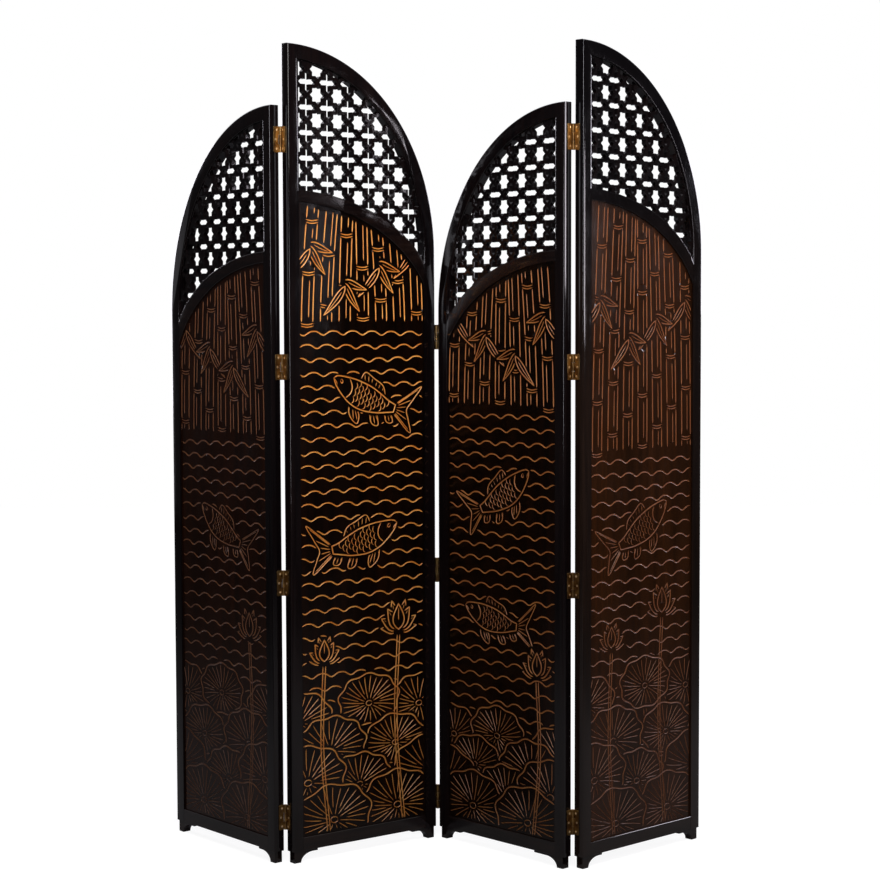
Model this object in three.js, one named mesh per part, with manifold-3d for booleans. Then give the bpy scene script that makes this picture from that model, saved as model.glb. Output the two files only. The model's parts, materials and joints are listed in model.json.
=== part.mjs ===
// A four-leaf folding screen of lacquered wood, in millimetres, +Z up, standing open in a zigzag.
// Each leaf is a frame with an arched top, a pierced fretwork board above a carved board, and two
// bracket feet. Brass butt hinges join the leaves: their barrels lie behind the screen where it
// folds towards the viewer, and before it where it folds away.
// The viewer stands on the -Y side. The origin is the middle of the bounding box, on the floor.
import * as THREE from "three";
import { mergeVertices } from "three/addons/utils/BufferGeometryUtils.js";
import Module from "manifold-3d";

const wasm = await Module();
wasm.setup();

// The leaves.
const LEAF_WIDTH = 447;
const LEAF_THICKNESS = 29;
const TALL_LEAF_HEIGHT = 2030;
const SHORT_LEAF_HEIGHT = 1881;
const LEAF_EDGE_ROUNDING = 4;

// How far each leaf is turned from the screen's own line, in degrees, for the open stand.
const LEAF_1_ANGLE_DEG = -50;
const LEAF_2_ANGLE_DEG = 37;
const LEAF_3_ANGLE_DEG = -46.7;
const LEAF_4_ANGLE_DEG = 43.3;

// The frame round the two boards of a leaf. The high stile is the one on the arch's high side.
// The fretwork's opening has a straight low side, from the arch's spring down to the middle rail.
const HIGH_STILE_WIDTH = 30;
const LOW_STILE_WIDTH = 34;
const ARCH_DEPTH = 510;
const ARCH_CROWN_WIDTH = 36;
const ARCH_FOOT_LENGTH = 25;
const BOTTOM_RAIL_HEIGHT = 33;
const FRET_LOW_SIDE = 18.9;
const MIDDLE_RAIL_DROP = 356;
const MIDDLE_RAIL_WIDTH = 27;
const MIDDLE_RAIL_SPREAD = 50;
const FRET_CHAMFER_WIDTH = 4.5;
const FRET_CHAMFER_DEPTH = 2.5;

// Tenons that join the rails, the arch and the low stile.
const TENON_THICKNESS = 11;
const TENON_LENGTH = 17;
const TENON_SHOULDER = 6;

// The boards, and the grooves in the frame that hold them.
const BOARD_SETBACK = 4.5;
const CARVED_BOARD_THICKNESS = 10.5;
const FRETWORK_THICKNESS = 15.5;
const TONGUE_LENGTH = 5.5;
const FIT_GAP = 0.3;

// The fretwork: star-shaped holes with crosses between them.
const FRET_PERIOD = 62.2;
const FRET_FIRST_STAR_DROP = 59.3;
const FRET_STAR_RADIUS = 22.9;
const FRET_STAR_CORNER_RADIUS = 18.9;
const FRET_CROSS_REACH = 24.5;
const FRET_CROSS_WIDTH = 12;
const FRET_BORDER = 1.5;
const FRET_LEAST_HOLE_AREA = 120;

// The bracket feet.
const FOOT_HEIGHT = 30;
const FOOT_REACH = 76;
const LONG_FOOT_REACH = 104;
const FOOT_END_INSET = 6;
const FOOT_FACE_INSET = 3.4;
const FOOT_SOLE_LENGTH = 20;
const FOOT_TOE_HEIGHT = 5.5;
const FOOT_COVE_LENGTH = 36;

// The butt hinges.
const EDGE_GAP = 5.6;
const PIN_OFFSET = 1.5;
const HINGE_HEIGHT = 63.5;
const PLATE_REACH = 18.8;
const PLATE_THICKNESS = 1.8;
const BARREL_RADIUS = 3.8;
const BORE_RADIUS = 2.2;
const PIN_RADIUS = 1.6;
const KNUCKLE_COUNT = 3;

// The middles of the hinges, over the floor or below the short leaves' tops and shoulders.
const RIDGE_TOP_HINGE_DROP = 83.5;
const RIDGE_UPPER_HINGE_HEIGHT = 1240;
const RIDGE_LOWER_HINGE_HEIGHT = 704;
const RIDGE_BOTTOM_HINGE_HEIGHT = 115;
const VALLEY_TOP_HINGE_DROP = 37.5;
const VALLEY_MIDDLE_HINGE_HEIGHT = 704.5;
const VALLEY_BOTTOM_HINGE_HEIGHT = 108;

// How finely the curves are cut.
const ARCH_STEPS = 11;
const RAIL_STEPS = 7;
const COVE_STEPS = 3;
const ROUNDING_STEPS = 2;
const BARREL_SIDES = 6;
const PIN_SIDES = 4;

const lacquer = new THREE.MeshStandardMaterial({ color: 0x120d0c, roughness: 0.25 });
const carvedLacquer = new THREE.MeshStandardMaterial({ color: 0x1c1411, roughness: 0.4 });
const brass = new THREE.MeshStandardMaterial({ color: 0xb0803c, roughness: 0.35, metalness: 1 });

function solidOf(geometry) {
  geometry.deleteAttribute("normal");
  geometry.deleteAttribute("uv");
  const merged = mergeVertices(geometry, 1e-4);
  return new wasm.Manifold(
    new wasm.Mesh({
      numProp: 3,
      vertProperties: merged.attributes.position.array,
      triVerts: new Uint32Array(merged.index.array),
    }),
  );
}

function meshOf(solid, name, material) {
  const made = solid.getMesh();
  const geometry = new THREE.BufferGeometry();
  geometry.setAttribute("position", new THREE.BufferAttribute(made.vertProperties, 3));
  geometry.setIndex(new THREE.BufferAttribute(made.triVerts, 1));
  const mesh = new THREE.Mesh(geometry.toNonIndexed(), material);
  mesh.geometry.computeVertexNormals();
  mesh.name = name;
  return mesh;
}

function block([x0, x1], [y0, y1], [z0, z1]) {
  const geometry = new THREE.BoxGeometry(x1 - x0, y1 - y0, z1 - z0);
  return solidOf(geometry.translate((x0 + x1) / 2, (y0 + y1) / 2, (z0 + z1) / 2));
}

// A prism through the leaf's thickness, on one or more outlines drawn in x and z.
function through(outlines, [y0, y1]) {
  const geometry = new THREE.ExtrudeGeometry(outlines, { depth: y1 - y0, bevelEnabled: false });
  return solidOf(geometry.rotateX(Math.PI / 2).translate(0, y1, 0));
}

// A solid through outlines of as many points each, drawn counterclockwise in x and z, that are
// given from front to back.
function loft(layers) {
  const count = layers[0].points.length;
  const corners = layers.flatMap(({ y, points }) => points.map(([x, z]) => [x, y, z]));
  const faces = [];
  for (let layer = 0; layer < layers.length - 1; layer++) {
    for (let i = 0; i < count; i++) {
      const [a, b] = [layer * count + i, layer * count + ((i + 1) % count)];
      faces.push([a, a + count, b], [b, a + count, b + count]);
    }
  }
  const contour = (layer) => layer.points.map(([x, z]) => new THREE.Vector2(x, z));
  const last = corners.length - count;
  for (const [a, b, c] of THREE.ShapeUtils.triangulateShape(contour(layers[0]), [])) {
    faces.push([a, b, c]);
  }
  for (const [a, b, c] of THREE.ShapeUtils.triangulateShape(contour(layers.at(-1)), [])) {
    faces.push([last + a, last + c, last + b]);
  }
  const geometry = new THREE.BufferGeometry();
  geometry.setAttribute("position", new THREE.Float32BufferAttribute(corners.flat(), 3));
  geometry.setIndex(faces.flat());
  return solidOf(geometry);
}

function outlineOf(points) {
  return new THREE.Shape(points.map(([x, z]) => new THREE.Vector2(x, z)));
}

// Values from first to last in even steps, both ends included.
function spread(first, last, steps) {
  return Array.from({ length: steps + 1 }, (_, i) => first + ((last - first) * i) / steps);
}

// How far a quarter ellipse has fallen at x from its level, high end, as a share of its depth.
function fallShare(x) {
  return 1 - Math.sqrt(Math.max(0, 1 - (x / LEAF_WIDTH) ** 2));
}

// The depth of the middle rail's upper curve, which ends just under the arch's spring.
const lowSideFall = ARCH_DEPTH + FRET_LOW_SIDE - MIDDLE_RAIL_DROP;
const railDepth = lowSideFall / fallShare(LEAF_WIDTH - LOW_STILE_WIDTH);

function railTop(height, x) {
  return height - MIDDLE_RAIL_DROP - railDepth * fallShare(x);
}

function railFoot(height, x) {
  const depth = railDepth + MIDDLE_RAIL_SPREAD;
  return height - MIDDLE_RAIL_DROP - MIDDLE_RAIL_WIDTH - depth * fallShare(x);
}

// Where the arch rail stands on the low stile.
function shoulderHeight(height) {
  return height - ARCH_DEPTH - ARCH_FOOT_LENGTH;
}

// Where the middle rail's curves are cut across an opening that is made larger by grow.
function acrossOpening(grow) {
  const stations = spread(HIGH_STILE_WIDTH, LEAF_WIDTH - LOW_STILE_WIDTH, RAIL_STEPS);
  stations[0] -= grow;
  stations[RAIL_STEPS] += grow;
  return stations;
}

// The arch's quarter ellipse with its crown at the high edge, from the crown to the low side.
function archCurve(halfWidth, halfHeight, centreHeight) {
  return spread(0, Math.PI / 2, ARCH_STEPS).map((turn) => [
    halfWidth * Math.sin(turn),
    centreHeight + halfHeight * Math.cos(turn),
  ]);
}

// The outline of a whole leaf above its feet, made smaller at the sides and top by inset.
function leafOutline(height, inset) {
  const right = LEAF_WIDTH - inset;
  const arch = archCurve(right, ARCH_DEPTH - inset, height - ARCH_DEPTH);
  arch[0][0] = inset;
  return [[inset, FOOT_HEIGHT], [right, FOOT_HEIGHT], ...arch.reverse()];
}

// A whole leaf's block with rounded edges at its sides and top, which its members are cut from.
function leafBlank(height) {
  const front = spread(0, Math.PI / 2, ROUNDING_STEPS).map((turn) => ({
    y: LEAF_EDGE_ROUNDING * (1 - Math.cos(turn)),
    points: leafOutline(height, LEAF_EDGE_ROUNDING * (1 - Math.sin(turn))),
  }));
  const back = front.map(({ y, points }) => ({ y: LEAF_THICKNESS - y, points })).reverse();
  return loft([...front, ...back]);
}

// The fretwork's opening, made larger all round by grow.
function fretOutline(height, grow) {
  const left = HIGH_STILE_WIDTH - grow;
  const right = LEAF_WIDTH - LOW_STILE_WIDTH + grow;
  const springHeight = height - ARCH_DEPTH;
  const arch = archCurve(right, ARCH_DEPTH - ARCH_CROWN_WIDTH + grow, springHeight);
  const cut = arch.findIndex(([x]) => x > left);
  const [before, after] = [arch[cut - 1], arch[cut]];
  const share = (left - before[0]) / (after[0] - before[0]);
  const corner = [left, before[1] + share * (after[1] - before[1])];
  const sill = acrossOpening(grow).map((x) => [x, railTop(height, x) - grow]);
  return [...sill, ...arch.slice(cut).reverse(), corner];
}

// The carved board's opening, made larger all round by grow.
function boardOutline(height, grow) {
  const left = HIGH_STILE_WIDTH - grow;
  const right = LEAF_WIDTH - LOW_STILE_WIDTH + grow;
  const sill = FOOT_HEIGHT + BOTTOM_RAIL_HEIGHT - grow;
  const head = acrossOpening(grow).map((x) => [x, railFoot(height, x) + grow]);
  return [[left, sill], [right, sill], ...head.reverse()];
}

// Where a board lies in a leaf's thickness, made larger by gap at its front and back.
function boardAcross(thickness, gap = 0) {
  return [BOARD_SETBACK - gap, BOARD_SETBACK + thickness + gap];
}

// The two grooves that run round inside the frame, as one solid to cut from its members.
function grooves(height) {
  const grow = TONGUE_LENGTH + FIT_GAP;
  const fret = outlineOf(fretOutline(height, grow));
  const board = outlineOf(boardOutline(height, grow));
  return through(fret, boardAcross(FRETWORK_THICKNESS, FIT_GAP))
    .add(through(board, boardAcross(CARVED_BOARD_THICKNESS, FIT_GAP)));
}

// The chamfer on the front edges of the frame round the fretwork.
function fretChamfer(height) {
  const rise = FRET_CHAMFER_WIDTH / FRET_CHAMFER_DEPTH;
  return loft([
    { y: -1, points: fretOutline(height, FRET_CHAMFER_WIDTH + rise) },
    { y: FRET_CHAMFER_DEPTH, points: fretOutline(height, 0) },
  ]);
}

// A leaf's thickness taken up by a tenon, or by its mortise with a gap all round.
function tenonAcross(gap) {
  const middle = LEAF_THICKNESS / 2;
  return [middle - TENON_THICKNESS / 2 - gap, middle + TENON_THICKNESS / 2 + gap];
}

// The places of the tenons in a leaf: each grows by gap where it is cut as a mortise.
function tenons(height, gap = 0) {
  const low = LEAF_WIDTH - LOW_STILE_WIDTH;
  const high = HIGH_STILE_WIDTH;
  const root = TENON_SHOULDER / 2;
  const reach = TENON_LENGTH + gap;
  const across = tenonAcross(gap);
  const within = (bottom, top) => [bottom + TENON_SHOULDER - gap, top - TENON_SHOULDER + gap];
  const bottomRail = within(FOOT_HEIGHT, FOOT_HEIGHT + BOTTOM_RAIL_HEIGHT);
  const middleHigh = within(railFoot(height, high), railTop(height, high));
  const shoulder = shoulderHeight(height);
  const middleLow = within(railFoot(height, low - root), shoulder - TENON_SHOULDER);
  const stileTop = within(low + TENON_SHOULDER, LEAF_WIDTH);
  return {
    bottomRailHigh: block([high - reach, high + root], across, bottomRail),
    bottomRailLow: block([low - root, low + reach], across, bottomRail),
    middleRailHigh: block([high - reach, high + root], across, middleHigh),
    middleRailLow: block([low - root, low + reach], across, middleLow),
    archHigh: block([high - reach, high + root], across, within(height - ARCH_CROWN_WIDTH, height)),
    lowStileTop: block(stileTop, across, [shoulder - root, shoulder + reach]),
  };
}

// A member of the frame: the leaf's blank between two widths and two heights, with its grooves.
function member(height, across, upward) {
  return leafBlank(height)
    .intersect(block(across, [-1, LEAF_THICKNESS + 1], upward))
    .subtract(grooves(height))
    .subtract(fretChamfer(height));
}

function highStile(height) {
  const mortises = tenons(height, FIT_GAP);
  return member(height, [-1, HIGH_STILE_WIDTH], [FOOT_HEIGHT - 1, height + 1])
    .subtract(mortises.bottomRailHigh)
    .subtract(mortises.middleRailHigh)
    .subtract(mortises.archHigh);
}

function lowStile(height) {
  const mortises = tenons(height, FIT_GAP);
  const across = [LEAF_WIDTH - LOW_STILE_WIDTH, LEAF_WIDTH + 1];
  return member(height, across, [FOOT_HEIGHT - 1, shoulderHeight(height)])
    .add(tenons(height).lowStileTop)
    .subtract(mortises.bottomRailLow)
    .subtract(mortises.middleRailLow);
}

function archRail(height) {
  const foot = shoulderHeight(height) + FIT_GAP;
  const right = LEAF_WIDTH - LOW_STILE_WIDTH;
  const arch = archCurve(right, ARCH_DEPTH - ARCH_CROWN_WIDTH, height - ARCH_DEPTH);
  const opening = outlineOf([[0, foot - 1], ...arch, [right, foot - 1]]);
  return member(height, [HIGH_STILE_WIDTH + FIT_GAP, LEAF_WIDTH + 1], [foot, height + 1])
    .subtract(through(opening, [-1, LEAF_THICKNESS + 1]))
    .add(tenons(height).archHigh)
    .subtract(tenons(height, FIT_GAP).lowStileTop);
}

function middleRail(height) {
  const stations = acrossOpening(-FIT_GAP);
  const upper = stations.map((x) => [x, railTop(height, x)]);
  const lower = stations.map((x) => [x, railFoot(height, x)]);
  const ends = tenons(height);
  return through(outlineOf([...lower, ...upper.reverse()]), [0, LEAF_THICKNESS])
    .subtract(grooves(height))
    .subtract(fretChamfer(height))
    .add(ends.middleRailHigh)
    .add(ends.middleRailLow);
}

function bottomRail(height) {
  const left = HIGH_STILE_WIDTH + FIT_GAP;
  const right = LEAF_WIDTH - LOW_STILE_WIDTH - FIT_GAP;
  const ends = tenons(height);
  return block([left, right], [0, LEAF_THICKNESS], [FOOT_HEIGHT, FOOT_HEIGHT + BOTTOM_RAIL_HEIGHT])
    .subtract(grooves(height))
    .add(ends.bottomRailHigh)
    .add(ends.bottomRailLow);
}

function carvedBoard(height) {
  const outline = outlineOf(boardOutline(height, TONGUE_LENGTH));
  return through(outline, boardAcross(CARVED_BOARD_THICKNESS));
}

// A star's hole: its points up, down and to the sides, with a blunter corner between each two.
function starHole(x, z) {
  return outlineOf(
    Array.from({ length: 8 }, (_, i) => {
      const radius = i % 2 ? FRET_STAR_CORNER_RADIUS : FRET_STAR_RADIUS;
      const turn = (i * Math.PI) / 4;
      return [x + radius * Math.cos(turn), z + radius * Math.sin(turn)];
    }),
  );
}

function crossHole(x, z) {
  const w = FRET_CROSS_WIDTH / 2;
  const arm = [[w, w], [FRET_CROSS_REACH, w], [FRET_CROSS_REACH, -w]];
  const quarter = ([u, v], turns) => (turns ? quarter([v, -u], turns - 1) : [u, v]);
  const points = [0, 1, 2, 3].flatMap((turns) => arm.map((point) => quarter(point, turns)));
  return outlineOf(points.map(([u, v]) => [x + u, z + v]));
}

// Stars stand on a square net whose first column is the high stile's edge. Crosses stand between.
function fretwork(height) {
  const rows = Math.ceil(ARCH_DEPTH / FRET_PERIOD) + 1;
  const columns = Math.ceil(LEAF_WIDTH / FRET_PERIOD) + 1;
  const holes = [];
  for (let row = -1; row < rows; row++) {
    for (let column = 0; column < columns; column++) {
      const x = HIGH_STILE_WIDTH + column * FRET_PERIOD;
      const z = height - FRET_FIRST_STAR_DROP - row * FRET_PERIOD;
      holes.push(starHole(x, z), crossHole(x + FRET_PERIOD / 2, z - FRET_PERIOD / 2));
    }
  }
  const cut = boardAcross(FRETWORK_THICKNESS, 1);
  const piercing = through(holes, cut)
    .intersect(through(outlineOf(fretOutline(height, -FRET_BORDER)), cut))
    .decompose()
    .filter((hole) => hole.volume() > FRET_LEAST_HOLE_AREA * (cut[1] - cut[0]));
  const outline = outlineOf(fretOutline(height, TONGUE_LENGTH));
  const board = through(outline, boardAcross(FRETWORK_THICKNESS));
  return piercing.reduce((made, hole) => made.subtract(hole), board);
}

// A bracket foot under the end of a leaf, its toe pointing along the leaf: +1 or -1.
function foot(end, way, reach) {
  const at = (x) => end + way * x;
  const toeFoot = FOOT_HEIGHT - FIT_GAP - FOOT_TOE_HEIGHT;
  const sole = FOOT_END_INSET + FOOT_SOLE_LENGTH;
  const cove = spread(0, Math.PI / 2, COVE_STEPS).map((turn) => [
    at(sole + FOOT_COVE_LENGTH * (1 - Math.cos(turn))),
    toeFoot * Math.sin(turn),
  ]);
  const points = [
    [at(FOOT_END_INSET), 0],
    ...cove,
    [at(reach), toeFoot],
    [at(reach), FOOT_HEIGHT - FIT_GAP],
    [at(FOOT_END_INSET), FOOT_HEIGHT - FIT_GAP],
  ];
  return through(outlineOf(points), [FOOT_FACE_INSET, LEAF_THICKNESS - FOOT_FACE_INSET]);
}

// A leaf in its own frame: x from the left edge, y from the front face, z up.
function leaf(number, { height, highSide, highFootReach }) {
  const name = (piece) => `leaf_${number}_${piece}`;
  const wood = new THREE.Group();
  wood.add(
    meshOf(highStile(height), name("high_stile"), lacquer),
    meshOf(lowStile(height), name("low_stile"), lacquer),
    meshOf(archRail(height), name("arch_rail"), lacquer),
    meshOf(middleRail(height), name("middle_rail"), lacquer),
    meshOf(bottomRail(height), name("bottom_rail"), lacquer),
    meshOf(carvedBoard(height), name("carved_panel"), carvedLacquer),
    meshOf(fretwork(height), name("fretwork"), lacquer),
    meshOf(foot(0, 1, highFootReach), name("high_foot"), lacquer),
    meshOf(foot(LEAF_WIDTH, -1, FOOT_REACH), name("low_foot"), lacquer),
  );
  if (highSide === "right") {
    wood.scale.x = -1;
    wood.position.x = LEAF_WIDTH;
  }
  return new THREE.Group().add(wood);
}

// One half of a butt hinge, with its pin on the z axis, its edge of the leaf towards +x and its
// plate lying along -y. It has the odd knuckles and the pin, or the even ones with their bores.
function hingeHalf(hasPin) {
  const outer = EDGE_GAP / 2 - FIT_GAP;
  const thickness = [outer - PLATE_THICKNESS, outer];
  const step = HINGE_HEIGHT / KNUCKLE_COUNT;
  const barrel = (radius, sides, [z0, z1]) => {
    const geometry = new THREE.CylinderGeometry(radius, radius, z1 - z0, sides);
    return solidOf(geometry.rotateX(Math.PI / 2).translate(0, 0, (z0 + z1) / 2));
  };
  let made = block(thickness, [-PLATE_REACH, -BARREL_RADIUS - FIT_GAP], [0, HINGE_HEIGHT]);
  for (let i = hasPin ? 0 : 1; i < KNUCKLE_COUNT; i += 2) {
    const from = i === 0 ? 0 : i * step + FIT_GAP / 2;
    const to = i === KNUCKLE_COUNT - 1 ? HINGE_HEIGHT : (i + 1) * step - FIT_GAP / 2;
    made = made.add(block(thickness, [-BARREL_RADIUS - 2 * FIT_GAP, 0], [from, to]));
    made = made.add(barrel(BARREL_RADIUS, BARREL_SIDES, [from, to]));
  }
  return hasPin
    ? made.add(barrel(PIN_RADIUS, PIN_SIDES, [FIT_GAP, HINGE_HEIGHT - FIT_GAP]))
    : made.subtract(barrel(BORE_RADIUS, BARREL_SIDES, [-1, HINGE_HEIGHT + 1]));
}

const sides = {
  back: { y: LEAF_THICKNESS + PIN_OFFSET, turn: 1 },
  front: { y: -PIN_OFFSET, turn: -1 },
};

// Hangs the halves of each hinge of a joint on the two leaves that it joins.
function hangHinges(left, right, joint, side, heights) {
  for (const [level, height] of Object.entries(heights)) {
    const halves = [
      [left, true, LEAF_WIDTH + EDGE_GAP / 2, -1, "pin_plate"],
      [right, false, -EDGE_GAP / 2, 1, "plate"],
    ];
    for (const [leafGroup, hasPin, x, way, piece] of halves) {
      const mesh = meshOf(hingeHalf(hasPin), `hinge_${joint}_${level}_${piece}`, brass);
      mesh.scale.set(way, sides[side].turn, 1);
      mesh.position.set(x, sides[side].y, height - HINGE_HEIGHT / 2);
      leafGroup.add(mesh);
    }
  }
}

// Turns a leaf to its heading and sets its left pin on the right pin of the leaf before it.
function setBeside(next, heading, before, side) {
  const y = sides[side].y;
  const pin = new THREE.Vector3(LEAF_WIDTH + EDGE_GAP / 2, y, 0).applyMatrix4(before.matrix);
  next.rotation.z = THREE.MathUtils.degToRad(heading);
  const offset = new THREE.Vector3(-EDGE_GAP / 2, y, 0).applyEuler(next.rotation);
  next.position.copy(pin).sub(offset);
  next.updateMatrix();
}

const tall = { height: TALL_LEAF_HEIGHT, highSide: "left", highFootReach: FOOT_REACH };
const short = { height: SHORT_LEAF_HEIGHT, highSide: "right", highFootReach: FOOT_REACH };

const leaf1 = leaf(1, short);
const leaf2 = leaf(2, tall);
const leaf3 = leaf(3, { ...short, highFootReach: LONG_FOOT_REACH });
const leaf4 = leaf(4, tall);

leaf1.rotation.z = THREE.MathUtils.degToRad(LEAF_1_ANGLE_DEG);
leaf1.updateMatrix();
setBeside(leaf2, LEAF_2_ANGLE_DEG, leaf1, "back");
setBeside(leaf3, LEAF_3_ANGLE_DEG, leaf2, "front");
setBeside(leaf4, LEAF_4_ANGLE_DEG, leaf3, "back");

const ridgeHeights = {
  top: SHORT_LEAF_HEIGHT - RIDGE_TOP_HINGE_DROP,
  upper: RIDGE_UPPER_HINGE_HEIGHT,
  lower: RIDGE_LOWER_HINGE_HEIGHT,
  bottom: RIDGE_BOTTOM_HINGE_HEIGHT,
};
const valleyHeights = {
  top: shoulderHeight(SHORT_LEAF_HEIGHT) - VALLEY_TOP_HINGE_DROP,
  middle: VALLEY_MIDDLE_HINGE_HEIGHT,
  bottom: VALLEY_BOTTOM_HINGE_HEIGHT,
};
hangHinges(leaf1, leaf2, "1_2", "back", ridgeHeights);
hangHinges(leaf2, leaf3, "2_3", "front", valleyHeights);
hangHinges(leaf3, leaf4, "3_4", "back", ridgeHeights);

const screen = new THREE.Group();
screen.name = "folding_screen";
screen.add(leaf1, leaf2, leaf3, leaf4);
screen.updateMatrixWorld(true);

// The origin goes under the middle of the whole screen, on the floor.
const bounds = new THREE.Box3().setFromObject(screen, true);
const middle = bounds.getCenter(new THREE.Vector3());
screen.position.set(-middle.x, -middle.y, -bounds.min.z);
screen.updateMatrixWorld(true);

export default screen;
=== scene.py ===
"""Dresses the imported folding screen: smooth lacquered woodwork, carved panels, fretwork and brass.

Lengths in the classes are millimetres in a leaf's own frame, unless a name says otherwise:
x runs from the leaf's high edge to its low edge, y from its front face to its back, z up.
"""

from __future__ import annotations

import json
import logging
import math
from dataclasses import dataclass
from enum import Enum
from typing import Callable, Iterable, Sequence

import bpy
import numpy as np
from mathutils import Matrix, Vector, geometry, kdtree

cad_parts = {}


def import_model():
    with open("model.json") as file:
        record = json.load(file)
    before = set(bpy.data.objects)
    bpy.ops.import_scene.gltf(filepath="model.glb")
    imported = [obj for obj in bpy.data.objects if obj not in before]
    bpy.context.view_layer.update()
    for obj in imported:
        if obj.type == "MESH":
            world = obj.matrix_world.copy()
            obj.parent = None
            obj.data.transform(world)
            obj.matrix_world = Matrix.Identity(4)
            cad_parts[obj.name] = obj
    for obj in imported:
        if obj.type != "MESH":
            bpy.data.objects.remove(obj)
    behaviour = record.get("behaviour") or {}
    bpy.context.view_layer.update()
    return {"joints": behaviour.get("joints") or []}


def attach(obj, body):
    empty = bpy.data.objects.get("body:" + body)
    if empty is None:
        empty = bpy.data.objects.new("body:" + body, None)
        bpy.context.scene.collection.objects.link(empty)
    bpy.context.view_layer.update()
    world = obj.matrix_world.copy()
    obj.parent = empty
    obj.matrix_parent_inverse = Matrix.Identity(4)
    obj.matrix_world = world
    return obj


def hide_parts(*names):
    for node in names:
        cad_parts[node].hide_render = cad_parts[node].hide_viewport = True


LOG = logging.getLogger("screen")
METRES = 0.001
PLACE = "place on leaf"
LEAF_SHIFT = 1.7  # metres between two leaves in the finishes, so that no two look alike
OVERSHOOT = 1.0  # how far a cutting solid stands out of what it cuts
MITRE_LIMIT = 0.5  # least square of a mitre's length, so that sharp corners stay short
LEAST_SIDE = 0.4  # points of a hole's outline that lie closer are one
FIELD_MARGIN = 3.0  # plain ground round a panel's carving
FOOT_REACH = 76.0
LONG_FOOT_REACH = 104.0
NODE_PITCH = 190
MIX_COLOUR_INPUTS = (6, 7)  # where a Mix node keeps its two colours
MIX_COLOUR_OUTPUT = 2
FLOAT = "NodeSocketFloat"
VECTOR = "NodeSocketVector"

Point = tuple[float, float]
Outline = list[Point]
Span = tuple[float, float]
Place = tuple[float, float, float]
Colour = tuple[float, float, float, float]


class Operation(Enum):
    """What a boolean does with the second solid."""

    CUT = "DIFFERENCE"
    KEEP = "INTERSECT"
    ADD = "UNION"


class Edge(Enum):
    """An upright edge of a leaf: high where the arch is high."""

    HIGH = "high"
    LOW = "low"


class Grain(Enum):
    """Which way the timber under the lacquer runs."""

    UPRIGHT = (1.0, 1.0, 0.06)
    LEVEL = (0.06, 1.0, 1.0)


class Slot(Enum):
    """The material slots of the record."""

    BLACK = "black_lacquer"
    CARVED = "carved_lacquer"
    BRASS = "hinge_brass"


def spread(first: float, last: float, steps: int) -> np.ndarray:
    """Returns values from first to last in even steps, both ends included."""
    return np.linspace(first, last, steps + 1)


def quarter(steps: int) -> list[Point]:
    """Returns the cosine and sine of even steps over a quarter turn, both ends included."""
    return [(math.cos(t), math.sin(t)) for t in spread(0, math.pi / 2, steps)]


def band(first: Sequence[int], second: Sequence[int]) -> list[tuple[int, ...]]:
    """Returns the faces between two closed rings of as many corners each."""
    pairs = list(zip(first, second))
    return [(a, b, d, c) for (a, b), (c, d) in zip(pairs, [*pairs[1:], pairs[0]])]


# Solids


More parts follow.
